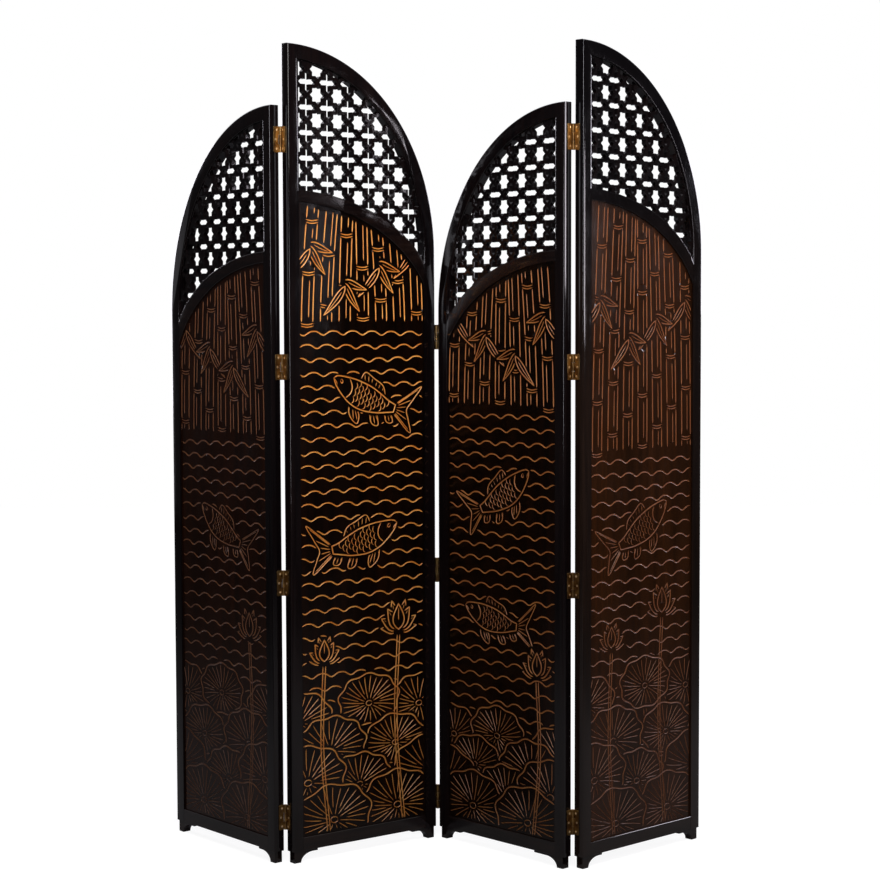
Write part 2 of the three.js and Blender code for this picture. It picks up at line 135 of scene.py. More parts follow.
class Solid:
    """A closed mesh in a leaf's own millimetres, which booleans can shape."""

    def __init__(self, mesh: bpy.types.Mesh) -> None:
        """Keeps a mesh.

        Args:
            mesh: The closed mesh, in millimetres.
        """
        self.mesh = mesh

    @classmethod
    def of(cls, points: Sequence[Sequence[float]], faces: Sequence[Sequence[int]]) -> Solid:
        """Makes a solid from points and faces.

        Args:
            points: Corners as x, y, z.
            faces: Corner indices of each face.

        Returns:
            The solid, its faces turned outward.
        """
        mesh = bpy.data.meshes.new("solid")
        mesh.from_pydata([tuple(map(float, p)) for p in points], [], [tuple(f) for f in faces])
        mesh.update()
        if cls.volume(mesh) < 0:
            mesh.flip_normals()
        return cls(mesh)

    @staticmethod
    def volume(mesh: bpy.types.Mesh) -> float:
        """Returns a mesh's signed volume, positive where its faces point outward."""
        mesh.calc_loop_triangles()
        corners = np.array([v.co for v in mesh.vertices], float)
        triangles = np.array([t.vertices for t in mesh.loop_triangles], int)
        a, b, c = (corners[triangles[:, i]] for i in range(3))
        return float(np.einsum("ij,ij->i", a, np.cross(b, c)).sum() / 6)

    @classmethod
    def loft(cls, layers: Sequence[tuple[float, Outline]]) -> Solid:
        """Makes a solid through outlines of as many points each.

        Args:
            layers: Each outline in x and z with its y, from front to back.

        Returns:
            The solid, closed at its first and last outlines.
        """
        count = len(layers[0][1])
        points = [(x, y, z) for y, outline in layers for x, z in outline]
        rings = [range(start, start + count) for start in range(0, len(points), count)]
        walls = [face for low, high in zip(rings, rings[1:]) for face in band(low, high)]
        return cls.of(points, [*walls, rings[0], rings[-1][::-1]])

    @classmethod
    def prism(cls, outline: Outline, depths: Span) -> Solid:
        """Returns the solid of an outline in x and z between two depths in y."""
        return cls.loft([(depths[0], outline), (depths[1], outline)])

    @classmethod
    def block(cls, x: Span, y: Span, z: Span) -> Solid:
        """Returns a plain block, for use in booleans."""
        return cls.prism([(x[0], z[0]), (x[1], z[0]), (x[1], z[1]), (x[0], z[1])], y)

    @classmethod
    def board(cls, outline: Outline, holes: Sequence[Outline], depths: Span, ease: float) -> Solid:
        """Makes a board with holes whose edges are all eased.

        Args:
            outline: The board's edge in x and z.
            holes: The edges of its holes.
            depths: Where its front and back lie in y.
            ease: The width of the small chamfer on every edge.

        Returns:
            The solid.
        """
        rings = [counterclockwise(outline)] + [counterclockwise(h)[::-1] for h in holes]
        inner = [offset_inward(ring, ease) for ring in rings]
        front, back = depths
        levels = [(front, inner), (front + ease, rings), (back - ease, rings), (back, inner)]
        points = [(x, y, z) for y, loops in levels for loop in loops for x, z in loop]
        total = sum(len(ring) for ring in rings)
        last = (len(levels) - 1) * total
        faces: list[Sequence[int]] = []
        start = 0
        for ring in rings:
            for low in range(start, start + last, total):
                faces += band(range(low, low + len(ring)), range(low + total, low + total + len(ring)))
            start += len(ring)
        flat = [point for ring in inner for point in ring]
        loops = [[Vector((x, z, 0.0)) for x, z in ring] for ring in inner]
        for a, b, c in geometry.tessellate_polygon(loops):
            if signed_area([flat[a], flat[b], flat[c]]) < 0:
                b, c = c, b
            faces += [(a, b, c), (last + a, last + c, last + b)]
        return cls.of(points, faces)

    def combined(self, operation: Operation, *others: Solid) -> Solid:
        """Applies one boolean after another.

        Args:
            operation: What each does.
            *others: The solids it is done with.

        Returns:
            The result, as a new solid.
        """
        scene = bpy.context.scene.collection
        holder = bpy.data.objects.new("boolean", self.mesh)
        tools = [bpy.data.objects.new("tool", other.mesh) for other in others]
        for item in (holder, *tools):
            scene.objects.link(item)
        for tool in tools:
            modifier = holder.modifiers.new("boolean", "BOOLEAN")
            modifier.operation = operation.value
            modifier.solver = "EXACT"
            modifier.object = tool
        bpy.context.view_layer.update()
        graph = bpy.context.evaluated_depsgraph_get()
        mesh = bpy.data.meshes.new_from_object(holder.evaluated_get(graph))
        for item in (holder, *tools):
            bpy.data.objects.remove(item)
        return Solid(mesh)


def signed_area(outline: Outline) -> float:
    """Returns an outline's area, positive where it runs counterclockwise."""
    x, z = np.array(outline, float).T
    return float((x * np.roll(z, -1) - np.roll(x, -1) * z).sum() / 2)


def counterclockwise(outline: Outline) -> Outline:
    """Returns the outline, turned round if it runs clockwise."""
    return list(outline) if signed_area(outline) > 0 else list(outline)[::-1]


def offset_inward(outline: Outline, distance: float) -> Outline:
    """Moves an outline to its left, which is inward where it runs counterclockwise.

    Args:
        outline: The outline.
        distance: How far each side moves.

    Returns:
        The outline with mitred corners.
    """
    points = np.array(outline, float)
    along = np.roll(points, -1, axis=0) - points
    along /= np.linalg.norm(along, axis=1, keepdims=True)
    left = np.stack([-along[:, 1], along[:, 0]], 1)
    before = np.roll(left, 1, axis=0)
    mitre = before + left
    mitre *= (2.0 / np.maximum((mitre**2).sum(1), MITRE_LIMIT))[:, None]
    return [tuple(p) for p in points + mitre * distance]


# The leaf's sizes and place


@dataclass(frozen=True)
class LeafSizes:
    """The sizes that all leaves share."""

    width: float = 447.0
    thickness: float = 29.0
    rounding: float = 4.0
    high_stile: float = 30.0
    low_stile: float = 34.0
    arch_depth: float = 510.0
    crown: float = 36.0
    arch_foot: float = 25.0
    bottom_rail: float = 33.0
    rail_drop: float = 356.0
    rail_depth: float = 280.0
    rail_width: float = 27.0
    rail_spread: float = 50.0
    moulding_width: float = 7.0
    moulding_depth: float = 2.4
    moulding_steps: int = 6
    moulding_on_curves: float = 0.3
    setback: float = 4.5
    board: float = 10.5
    fretwork: float = 15.5
    tongue: float = 5.5
    gap: float = 0.3
    hairline: float = 0.02
    foot_height: float = 30.0
    edge_gap: float = 5.6
    pin_offset: float = 1.5
    arch_steps: int = 72
    rail_steps: int = 40

    @property
    def low(self) -> float:
        """Where the low stile's inner side is."""
        return self.width - self.low_stile

    def fall(self, x: float, depth: float) -> float:
        """Returns how far a quarter ellipse of this depth has fallen at x."""
        return depth * (1 - math.sqrt(max(0.0, 1 - (x / self.width) ** 2)))

    def rail_top(self, height: float, x: float) -> float:
        """Returns the height of the middle rail's upper edge at x."""
        return height - self.rail_drop - self.fall(x, self.rail_depth)

    def rail_foot(self, height: float, x: float) -> float:
        """Returns the height of the middle rail's lower edge at x."""
        depth = self.rail_depth + self.rail_spread
        return height - self.rail_drop - self.rail_width - self.fall(x, depth)

    def shoulder(self, height: float) -> float:
        """Returns the height at which the arch rail stands on the low stile."""
        return height - self.arch_depth - self.arch_foot


@dataclass(frozen=True)
class HingedEdge:
    """The hinges along one edge of a leaf: their joint, and the height of each one's middle."""

    joint: str
    levels: dict[str, float]
    has_pin: bool


@dataclass(frozen=True)
class LeafPlan:
    """One leaf: its height, where it stands and how it is turned."""

    number: int
    height: float
    heading: float
    mirrored: bool
    ridge_pin: Vector
    high_foot_reach: float
    hinges: dict[Edge, HingedEdge]

    @property
    def body(self) -> str:
        """The CAD body that the leaf's pieces ride on."""
        return f"leaf_{self.number}"

    def matrix(self, sizes: LeafSizes) -> Matrix:
        """Finds where the leaf stands.

        Args:
            sizes: The leaf's sizes.

        Returns:
            The matrix from the leaf's millimetres to the scene's metres.
        """
        side = -1.0 if self.mirrored else 1.0
        from_pin = Matrix.Translation((sizes.edge_gap / 2, -sizes.thickness - sizes.pin_offset, 0.0))
        scale = Matrix.Diagonal((side * METRES, METRES, METRES, 1.0))
        turn = Matrix.Rotation(math.radians(self.heading), 4, "Z")
        pin = Matrix.Translation((self.ridge_pin.x, self.ridge_pin.y, 0.0))
        return pin @ turn @ scale @ from_pin


class Joiner:
    """Turns solids of a leaf into scene objects that ride on the leaf's body."""

    def __init__(self, plan: LeafPlan, sizes: LeafSizes) -> None:
        """Keeps the leaf's plan and sizes."""
        self.plan = plan
        self.sizes = sizes

    def keep_places(self, mesh: bpy.types.Mesh) -> None:
        """Keeps each point's place on its leaf, which the finishes are laid out by.

        Args:
            mesh: The mesh, still in the leaf's millimetres.
        """
        shift = Vector((LEAF_SHIFT * self.plan.number, 0.0, 0.0))
        places = mesh.attributes.new(PLACE, "FLOAT_VECTOR", "POINT")
        for entry, vertex in zip(places.data, mesh.vertices):
            entry.vector = vertex.co * METRES + shift

    def place(
        self,
        solid: Solid,
        name: str,
        materials: Sequence[bpy.types.Material],
        slot: Slot,
        replaced: Sequence[str],
        smooth_degrees: float = 32.0,
    ) -> bpy.types.Object:
        """Puts a solid in the scene.

        Args:
            solid: The piece, in the leaf's millimetres.
            name: The piece's name.
            materials: Its materials, in the order of its faces' indices.
            slot: The record's slot that it would take its finish from; not used.
            replaced: The CAD nodes that it stands for.
            smooth_degrees: Faces that meet at less than this are shaded as one surface.

        Returns:
            The object, riding on the leaf's body.
        """
        mesh = solid.mesh
        self.keep_places(mesh)
        mesh.transform(self.plan.matrix(self.sizes))
        if self.plan.mirrored:
            mesh.flip_normals()
        mesh.shade_smooth()
        mesh.set_sharp_from_angle(angle=math.radians(smooth_degrees))
        mesh.name = name
        for material in materials:
            mesh.materials.append(material)
        piece = bpy.data.objects.new(name, mesh)
        bpy.context.scene.collection.objects.link(piece)
        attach(piece, self.plan.body)
        if replaced:
            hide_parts(*replaced)
        LOG.info("%s: %d faces", name, len(mesh.polygons))
        return piece


# Woodwork


@dataclass
class Woodwork:
    """The frame of a leaf: its stiles, arch, rails and feet."""

    plan: LeafPlan
    sizes: LeafSizes
    rounding_steps: int = 4
    foot_inset: float = 6.0
    foot_face_inset: float = 3.4
    foot_sole: float = 20.0
    foot_toe: float = 5.5
    foot_cove: float = 36.0
    foot_steps: int = 14
    through: Span = (-2.0, 40.0)
    ease: float = 0.7

    def arch(self, half_width: float, half_height: float) -> Outline:
        """Returns a quarter ellipse from its crown over the high edge to the low side."""
        centre = self.plan.height - self.sizes.arch_depth
        turns = quarter(self.sizes.arch_steps)
        return [(half_width * sine, centre + half_height * cosine) for cosine, sine in turns]

    def outline(self, inset: float) -> Outline:
        """Returns the leaf's outline above its feet, smaller by inset at the sides and top."""
        s = self.sizes
        right = s.width - inset
        arch = self.arch(right, s.arch_depth - inset)
        arch[0] = (inset, arch[0][1])
        return [(inset, s.foot_height), (right, s.foot_height), *arch[::-1]]

    def blank(self) -> Solid:
        """Returns the leaf's block, its long edges rounded."""
        s = self.sizes
        front = [
            (s.rounding * (1 - cosine), self.outline(s.rounding * (1 - sine)))
            for cosine, sine in quarter(self.rounding_steps)
        ]
        back = [(s.thickness - y, outline) for y, outline in reversed(front)]
        return Solid.loft(front + back)

    def stations(self, grow: float) -> np.ndarray:
        """Returns where the middle rail's curves are cut, over an opening larger by grow."""
        s = self.sizes
        x = spread(s.high_stile, s.low, s.rail_steps)
        x[0] -= grow
        x[-1] += grow
        return x

    def fret_opening(self, grow: float, curved_share: float = 1.0) -> Outline:
        """Finds the fretwork's opening, larger all round.

        Args:
            grow: How much larger it is.
            curved_share: The share of that by which its curved sides move.

        Returns:
            The opening's outline.
        """
        s = self.sizes
        left = s.high_stile - grow
        out = grow * curved_share
        arch = self.arch(s.low + out, s.arch_depth - s.crown + out)
        cut = next(i for i, (x, _) in enumerate(arch) if x > s.high_stile)
        before, after = arch[cut - 1], arch[cut]
        share = (left - before[0]) / (after[0] - before[0])
        corner = (left, before[1] + share * (after[1] - before[1]))
        height = self.plan.height
        sill = [(x, s.rail_top(height, x) - out) for x in self.stations(grow)]
        sill[-1] = (s.low + out, sill[-1][1])
        return [*sill, *arch[cut:][::-1], corner]

    def panel_opening(self, grow: float) -> Outline:
        """Returns the carved panel's opening, larger all round by grow."""
        s = self.sizes
        sill = s.foot_height + s.bottom_rail - grow
        height = self.plan.height
        head = [(x, s.rail_foot(height, x) + grow) for x in self.stations(grow)]
        return [(s.high_stile - grow, sill), (s.low + grow, sill), *head[::-1]]

    def grooves(self) -> list[Solid]:
        """Returns the room that the boards' tongues take in the frame."""
        s = self.sizes
        grow = s.tongue + s.gap
        front = s.setback - s.gap
        return [
            Solid.prism(self.fret_opening(grow), (front, s.setback + s.fretwork + s.gap)),
            Solid.prism(self.panel_opening(grow), (front, s.setback + s.board + s.gap)),
        ]

    def moulding(self) -> Solid:
        """Returns what the rounded front edge takes off round the fretwork."""
        s = self.sizes
        share = s.moulding_on_curves
        layers = [(-OVERSHOOT, self.fret_opening(s.moulding_width, share))]
        for cosine, sine in quarter(s.moulding_steps):
            opening = self.fret_opening(s.moulding_width * (1 - sine), share)
            layers.append((s.moulding_depth * (1 - cosine), opening))
        return Solid.loft(layers)

    def member(self, x: Span, z: Span) -> Solid:
        """Returns the leaf's block between two widths and two heights, with its grooves."""
        s = self.sizes
        around = Solid.block(x, (-OVERSHOOT, s.thickness + OVERSHOOT), z)
        part = self.blank().combined(Operation.KEEP, around)
        return part.combined(Operation.CUT, *self.grooves(), self.moulding())

    def high_stile(self) -> Solid:
        """Returns the upright on the arch's high side."""
        return self.member((-OVERSHOOT, self.sizes.high_stile), (0.0, self.plan.height + OVERSHOOT))

    def low_stile(self) -> Solid:
        """Returns the shorter upright."""
        s = self.sizes
        return self.member((s.low, s.width + OVERSHOOT), (0.0, s.shoulder(self.plan.height)))

    def arch_rail(self) -> Solid:
        """Returns the curved member over the fretwork."""
        s = self.sizes
        foot = s.shoulder(self.plan.height) + s.hairline
        sides = (s.high_stile + s.gap, s.width + OVERSHOOT)
        part = self.member(sides, (foot, self.plan.height + OVERSHOOT))
        arch = self.arch(s.low, s.arch_depth - s.crown)
        sill = foot - OVERSHOOT
        opening = Solid.prism([(0.0, sill), (s.low, sill), *arch[::-1]], self.through)
        return part.combined(Operation.CUT, opening)

    def middle_rail(self) -> Solid:
        """Returns the curved rail under the fretwork."""
        s = self.sizes
        height = self.plan.height
        stations = self.stations(-s.gap)
        upper = [(x, s.rail_top(height, x)) for x in stations]
        lower = [(x, s.rail_foot(height, x)) for x in stations]
        part = Solid.board([*lower, *upper[::-1]], [], (0.0, s.thickness), self.ease)
        return part.combined(Operation.CUT, *self.grooves(), self.moulding())

    def bottom_rail(self) -> Solid:
        """Returns the rail under the carved panel."""
        s = self.sizes
        left, right = s.high_stile + s.gap, s.low - s.gap
        foot, top = s.foot_height, s.foot_height + s.bottom_rail
        outline = [(left, foot), (right, foot), (right, top), (left, top)]
        part = Solid.board(outline, [], (0.0, s.thickness), self.ease)
        return part.combined(Operation.CUT, *self.grooves())

    def foot(self, end: float, way: float, reach: float) -> Solid:
        """Makes a bracket foot.

        Args:
            end: Where the leaf ends, in x.
            way: 1 or -1, the way in which the foot's toe points.
            reach: How far the toe reaches from the leaf's end.

        Returns:
            The foot.
        """
        s = self.sizes
        top = s.foot_height - s.gap
        toe = top - self.foot_toe
        sole = self.foot_inset + self.foot_sole
        turns = quarter(self.foot_steps)
        cove = [(sole + self.foot_cove * (1 - cosine), toe * sine) for cosine, sine in turns]
        profile = [(self.foot_inset, 0.0), *cove, (reach, toe), (reach, top), (self.foot_inset, top)]
        outline = [(end + way * x, z) for x, z in profile]
        depths = (self.foot_face_inset, s.thickness - self.foot_face_inset)
        return Solid.board(outline, [], depths, self.ease)

    def build(self, joiner: Joiner, finishes: dict[Grain, bpy.types.Material]) -> None:
        """Builds the frame.

        Args:
            joiner: Places the pieces.
            finishes: The lacquer for each way of the grain.
        """
        pieces: list[tuple[str, Solid, Grain]] = [
            ("high_stile", self.high_stile(), Grain.UPRIGHT),
            ("low_stile", self.low_stile(), Grain.UPRIGHT),
            ("arch_rail", self.arch_rail(), Grain.UPRIGHT),
            ("middle_rail", self.middle_rail(), Grain.LEVEL),
            ("bottom_rail", self.bottom_rail(), Grain.LEVEL),
            ("high_foot", self.foot(0.0, 1.0, self.plan.high_foot_reach), Grain.LEVEL),
            ("low_foot", self.foot(self.sizes.width, -1.0, FOOT_REACH), Grain.LEVEL),
        ]
        for name, solid, grain in pieces:
            node = f"{self.plan.body}_{name}"
            joiner.place(solid, f"{node}_finished", [finishes[grain]], Slot.BLACK, [node])


# Fretwork


@dataclass
class Fretwork:
    """The pierced board: eight-pointed stars with crosses between them."""

    woodwork: Woodwork
    period: float = 62.2
    first_drop: float = 59.3
    star_radius: float = 22.9
    cross_reach: float = 26.0
    cross_half: float = 6.0
    border: float = 1.5
    high_border: float = 4.5
    least_area: float = 120.0
    ease: float = 1.1
    star_points: int = 8
    arch_planes: int = 60
    smooth_degrees: float = 20.0

    def star(self, x: float, z: float) -> Outline:
        """Returns a star's outline, as two squares make with one turned by an eighth."""
        turn = math.pi / self.star_points
        radii = (self.star_radius, self.star_radius * math.sqrt(0.5) / math.cos(turn))
        return [
            (x + radii[i % 2] * math.cos(t), z + radii[i % 2] * math.sin(t))
            for i, t in enumerate(i * math.pi / self.star_points for i in range(2 * self.star_points))
        ]

    def cross(self, x: float, z: float) -> Outline:
        """Returns a cross's outline, its arms pointed."""
        half, reach = self.cross_half, self.cross_reach
        arm = np.array([(half, -half), (reach - half, -half), (reach, 0), (reach - half, half)])
        points: Outline = []
        for side in range(4):
            c, s = math.cos(side * math.pi / 2), math.sin(side * math.pi / 2)
            points += [(x + u * c - v * s, z + u * s + v * c) for u, v in arm]
        return points

    def clipped(self, hole: Outline) -> Outline:
        """Cuts a hole's outline off at the border of the opening.

        Args:
            hole: The whole outline.

        Returns:
            What is left inside, which may be nothing.
        """
        s = self.woodwork.sizes
        height = self.woodwork.plan.height
        left, right = s.high_stile + self.high_border, s.low - self.border
        middle = float(np.mean([x for x, _ in hole]))
        middle = min(max(middle, left), right)
        planes: list[tuple[Point, Point]] = [((left, 0.0), (1.0, 0.0)), ((right, 0.0), (-1.0, 0.0))]
        sill = s.rail_top(height, middle)
        slope = (s.rail_top(height, middle + 1) - s.rail_top(height, middle - 1)) / 2
        level = math.hypot(1.0, slope)
        normal = (-slope / level, 1 / level)
        foot = (middle + self.border * normal[0], sill + self.border * normal[1])
        planes.append((foot, normal))
        a, b = s.low - self.border, s.arch_depth - s.crown - self.border
        centre = height - s.arch_depth
        for cosine, sine in quarter(self.arch_planes):
            out = Vector((sine / a, cosine / b)).normalized()
            planes.append(((a * sine, centre + b * cosine), (-out.x, -out.y)))
        for at, inward in planes:
            hole = cut_by_plane(hole, at, inward)
            if len(hole) < 3:
                return []
        return hole

    def holes(self) -> list[Outline]:
        """Returns the outlines of all holes that are large enough to be cut."""
        s = self.woodwork.sizes
        found: list[Outline] = []
        rows = math.ceil(s.arch_depth / self.period) + 1
        columns = math.ceil(s.width / self.period) + 1
        for row in range(-1, rows):
            for column in range(columns):
                x = s.high_stile + column * self.period
                z = self.woodwork.plan.height - self.first_drop - row * self.period
                half = self.period / 2
                for whole in (self.star(x, z), self.cross(x + half, z - half)):
                    hole = self.clipped(whole)
                    if hole and abs(signed_area(hole)) > self.least_area:
                        found.append(hole)
        return found

    def build(self, joiner: Joiner, finish: bpy.types.Material) -> None:
        """Builds the fretwork.

        Args:
            joiner: Places the piece.
            finish: The lacquer.
        """
        s = self.woodwork.sizes
        depths = (s.setback, s.setback + s.fretwork)
        outline = self.woodwork.fret_opening(s.tongue)
        solid = Solid.board(outline, self.holes(), depths, self.ease)
        node = f"{joiner.plan.body}_fretwork"
        joiner.place(solid, f"{node}_finished", [finish], Slot.BLACK, [node], self.smooth_degrees)


def cut_by_plane(outline: Outline, at: Point, inward: Point) -> Outline:
    """Keeps the part of an outline on one side of a line.

    Args:
        outline: The outline.
        at: A point on the line.
        inward: The side to keep.

    Returns:
        The part that is kept, without points that lie on each other.
    """
    kept: Outline = []
    levels = [(x - at[0]) * inward[0] + (z - at[1]) * inward[1] for x, z in outline]
    for i, (x, z) in enumerate(outline):
        j = (i + 1) % len(outline)
        if levels[i] >= 0:
            kept.append((x, z))
        if (levels[i] >= 0) != (levels[j] >= 0):
            share = levels[i] / (levels[i] - levels[j])
            kept.append((x + share * (outline[j][0] - x), z + share * (outline[j][1] - z)))
    return [p for i, p in enumerate(kept) if math.dist(p, kept[i - 1]) > LEAST_SIDE or len(kept) < 3]


# Carved panels


@dataclass
class Stroke:
    """One carved line: its points along the middle, and its half width at each."""

    points: np.ndarray
    half_widths: np.ndarray


def densified(points: np.ndarray, step: float) -> np.ndarray:
    """Returns points along a line no further apart than step."""
    out = [points[:1]]
    for a, b in zip(points[:-1], points[1:]):
        count = max(1, math.ceil(float(np.linalg.norm(b - a)) / step))
        out.append(a + (b - a) * np.linspace(0, 1, count + 1)[1:, None])
    return np.concatenate(out)


def smoothed(points: Iterable[Point], per_span: int = 8) -> np.ndarray:
    """Returns a smooth curve through a few points.

    Args:
        points: The points to pass through.
        per_span: How many steps each span gets.

    Returns:
        The curve's points.
    """
    knots = np.array(list(points), float)
    padded = np.vstack([2 * knots[0] - knots[1], knots, 2 * knots[-1] - knots[-2]])
    out = []
    for i in range(len(knots) - 1):
        a, b, c, d = padded[i : i + 4]
        t = np.linspace(0, 1, per_span, endpoint=False)[:, None]
        out.append(
            0.5 * (2 * b + (c - a) * t + (2 * a - 5 * b + 4 * c - d) * t**2)
            + 0.5 * (3 * b - a - 3 * c + d) * t**3
        )
    return np.concatenate([*out, knots[-1:]])


def inside(points: np.ndarray, outline: np.ndarray) -> np.ndarray:
    """Returns which points lie inside an outline."""
    x, z = points[:, 0:1], points[:, 1:2]
    a, b = outline, np.roll(outline, -1, axis=0)
    spans = (a[:, 1] > z) != (b[:, 1] > z)
    rise = np.where(b[:, 1] == a[:, 1], 1e-9, b[:, 1] - a[:, 1])
    at = a[:, 0] + (z - a[:, 1]) / rise * (b[:, 0] - a[:, 0])
    return (np.logical_and(spans, x < at).sum(1) % 2) == 1


class Design:
    """Carved lines on one panel, drawn from the front to the back.

    What is drawn later disappears behind what has been covered before.
    """

    COVER_STEP = 4.0
    LEAST_POINTS = 3
    LEAST_LENGTH = 6.0
    TAPER = 7.0
    TAPER_POWER = 0.6

    def __init__(self, field_outline: Outline, half_width: float, clear: float) -> None:
        """Starts an empty design.

        Args:
            field_outline: The part of the panel that may be carved.
            half_width: Half the width of a common line.
            clear: How much ground is left free round what stands in front.
        """
        self.field = np.array(field_outline, float)
        self.half_width = half_width
        self.clear = clear
        self.covers: list[np.ndarray] = []
        self.strokes: list[Stroke] = []

    def cover(self, outline: np.ndarray) -> None:
        """Hides what is drawn later behind an outline."""
        closed = np.vstack([outline, outline[:1]])
        self.covers.append(densified(closed, self.COVER_STEP))

    def draw(self, points: np.ndarray, weight: float = 1.0, step: float = 4.5) -> None:
        """Carves a line wherever it shows.

        Args:
            points: The line's middle.
            weight: Its width as a share of a common line's.
            step: The longest step between its points.
        """
        line = densified(np.asarray(points, float), step)
        shows = inside(line, self.field)
        for outline in self.covers:
            low, high = outline.min(0) - self.clear, outline.max(0) + self.clear
            near = shows & ((line > low) & (line < high)).all(1)
            if not near.any():
                continue
            candidates = line[near]
            gaps = np.linalg.norm(candidates[:, None] - outline[None], axis=2).min(1)
            shows[near] &= ~(inside(candidates, outline) | (gaps < self.clear))
        start = None
        for i in range(len(line) + 1):
            if i < len(line) and shows[i]:
                start = i if start is None else start
            elif start is not None:
                self.keep(line[start:i], weight)
                start = None

    def keep(self, run: np.ndarray, weight: float) -> None:
        """Keeps one unbroken run of a line, its ends drawn out to points."""
        if len(run) < self.LEAST_POINTS:
            return
        steps = np.linalg.norm(np.diff(run, axis=0), axis=1)
        reach = np.concatenate([[0.0], np.cumsum(steps)])
        if reach[-1] < self.LEAST_LENGTH:
            return
        from_end = np.minimum(reach, reach[-1] - reach)
        taper = np.clip(from_end / self.TAPER, 0.0, 1.0) ** self.TAPER_POWER
        self.strokes.append(Stroke(run, self.half_width * weight * taper))

    def shape(self, outline: np.ndarray, weight: float = 1.0) -> None:
        """Carves a closed outline and covers what lies behind it."""
        self.draw(np.vstack([outline, outline[:2]]), weight)
        self.cover(outline)


@dataclass(frozen=True)
class Fin:
    """A fin, drawn as shares of its fish's length: its edge, and how many rays it has."""

    edge: tuple[Point, ...]
    rays: int


@dataclass(frozen=True)
class Carp:
    """A leaping carp seen from the side, with rows of scales and rayed fins."""

    x: float
    z: float
    length: float
    facing: float
    tilt: float
    arch: float = 0.42
    arch_middle: float = -0.02
    straight_half: float = 0.08
    scale: float = 0.074
    scale_column: float = 0.52
    scale_reach: Point = (0.36, 0.48)
    scales_from: float = 0.225
    scales_length: float = 0.5
    scale_rows: int = 3
    bare_edge: float = 0.03
    eye: Point = (0.4, 0.028)
    eye_radius: float = 0.017
    gill: tuple[Point, ...] = ((0.31, 0.105), (0.262, 0.05), (0.258, -0.02), (0.3, -0.09))
    mouth: tuple[Point, ...] = ((0.497, -0.004), (0.462, -0.014), (0.438, -0.034))
    ray_length: float = 0.88
    back: tuple[Point, ...] = (
        (0.5, 0.0), (0.46, 0.048), (0.36, 0.098), (0.22, 0.138), (0.06, 0.142), (-0.1, 0.108),
        (-0.22, 0.066), (-0.31, 0.042),
    )
    belly_share: float = 0.86
    fins: tuple[Fin, ...] = (
        Fin(((0.19, 0.135), (0.15, 0.25), (0.02, 0.225), (-0.1, 0.19), (-0.17, 0.085)), 9),
        Fin(((0.25, -0.1), (0.2, -0.22), (0.09, -0.27), (0.08, -0.2), (0.13, -0.115)), 5),
        Fin(((-0.02, -0.11), (-0.09, -0.21), (-0.17, -0.2), (-0.11, -0.085)), 4),
        Fin(((-0.2, -0.06), (-0.26, -0.15), (-0.33, -0.14), (-0.28, -0.045)), 4),
    )
    tail: Fin = Fin(
        (
            (-0.3, 0.045), (-0.4, 0.13), (-0.56, 0.25), (-0.5, 0.1), (-0.46, 0.0), (-0.51, -0.1),
            (-0.58, -0.25), (-0.41, -0.12), (-0.3, -0.042),
        ),
        11,
    )

    def at(self, point: Point) -> Point:
        """Returns where a point of the carp lies on the panel.

        Args:
            point: Shares of the length along the fish from its middle, and across it.

        Returns:
            The place in x and z.
        """
        u, v = point
        v += self.arch * max(0.0, abs(u - self.arch_middle) - self.straight_half) ** 2
        c, s = math.cos(math.radians(self.tilt)), math.sin(math.radians(self.tilt))
        along, across = u * self.length, v * self.length
        return self.x + self.facing * (along * c - across * s), self.z + along * s + across * c

    def placed(self, points: Iterable[Point]) -> np.ndarray:
        """Returns points of the carp as places on the panel."""
        return np.array([self.at(point) for point in points])

    def half_height(self, u: float) -> float:
        """Returns half the body's height at u."""
        curve = smoothed(self.back)
        return float(np.interp(u, curve[::-1, 0], curve[::-1, 1]))

    def draw_fin(self, design: Design, fin: Fin) -> None:
        """Carves a fin and its rays.

        Args:
            design: The panel's design.
            fin: The fin.
        """
        edge = smoothed(fin.edge)
        root, tip = edge[0], edge[-1]
        for ray in range(1, fin.rays):
            share = ray / fin.rays
            start = root + (tip - root) * share
            rim = edge[round(share * (len(edge) - 1))]
            design.draw(self.placed([start, start + (rim - start) * self.ray_length]), weight=0.6)
        design.draw(self.placed(edge), weight=0.8)
        design.cover(self.placed(edge))

    def draw(self, design: Design) -> None:
        """Carves the carp.

        Args:
            design: The panel's design.
        """
        self.draw_scales(design)
        back = smoothed(self.back, 5)
        belly = back[::-1] * (1.0, -self.belly_share)
        body = self.placed([*back, *belly[:-1]])
        design.shape(body, weight=0.95)
        for fin in (*self.fins, self.tail):
            self.draw_fin(design, fin)

    def draw_scales(self, design: Design) -> None:
        """Carves what lies on the body: the eye, the gill, the mouth and the rows of scales.

        Args:
            design: The panel's design, before the body is covered.
        """
        x, z, radius = *self.eye, self.eye_radius
        eye = [(x + radius * math.cos(t), z + radius * math.sin(t)) for t in spread(0, 6.5, 10)]
        design.draw(self.placed(eye), weight=0.65, step=2.0)
        design.draw(self.placed(smoothed(self.gill)), weight=0.85)
        design.draw(self.placed(smoothed(self.mouth)), weight=0.65)
        size = self.scale
        along, across = self.scale_reach
        for column in range(int(self.scales_length / (self.scale_column * size))):
            u = self.scales_from - column * size * self.scale_column
            reach = self.half_height(u)
            for row in range(-self.scale_rows, self.scale_rows + 1):
                v = (row + 0.5 * (column % 2)) * size
                if self.bare_edge - reach * self.belly_share <= v <= reach - self.bare_edge:
                    arc = [
                        (u - along * size * math.cos(t), v + across * size * math.sin(t))
                        for t in spread(-1.5, 1.5, 6)
                    ]
                    design.draw(self.placed(arc), weight=0.6, step=3.0)


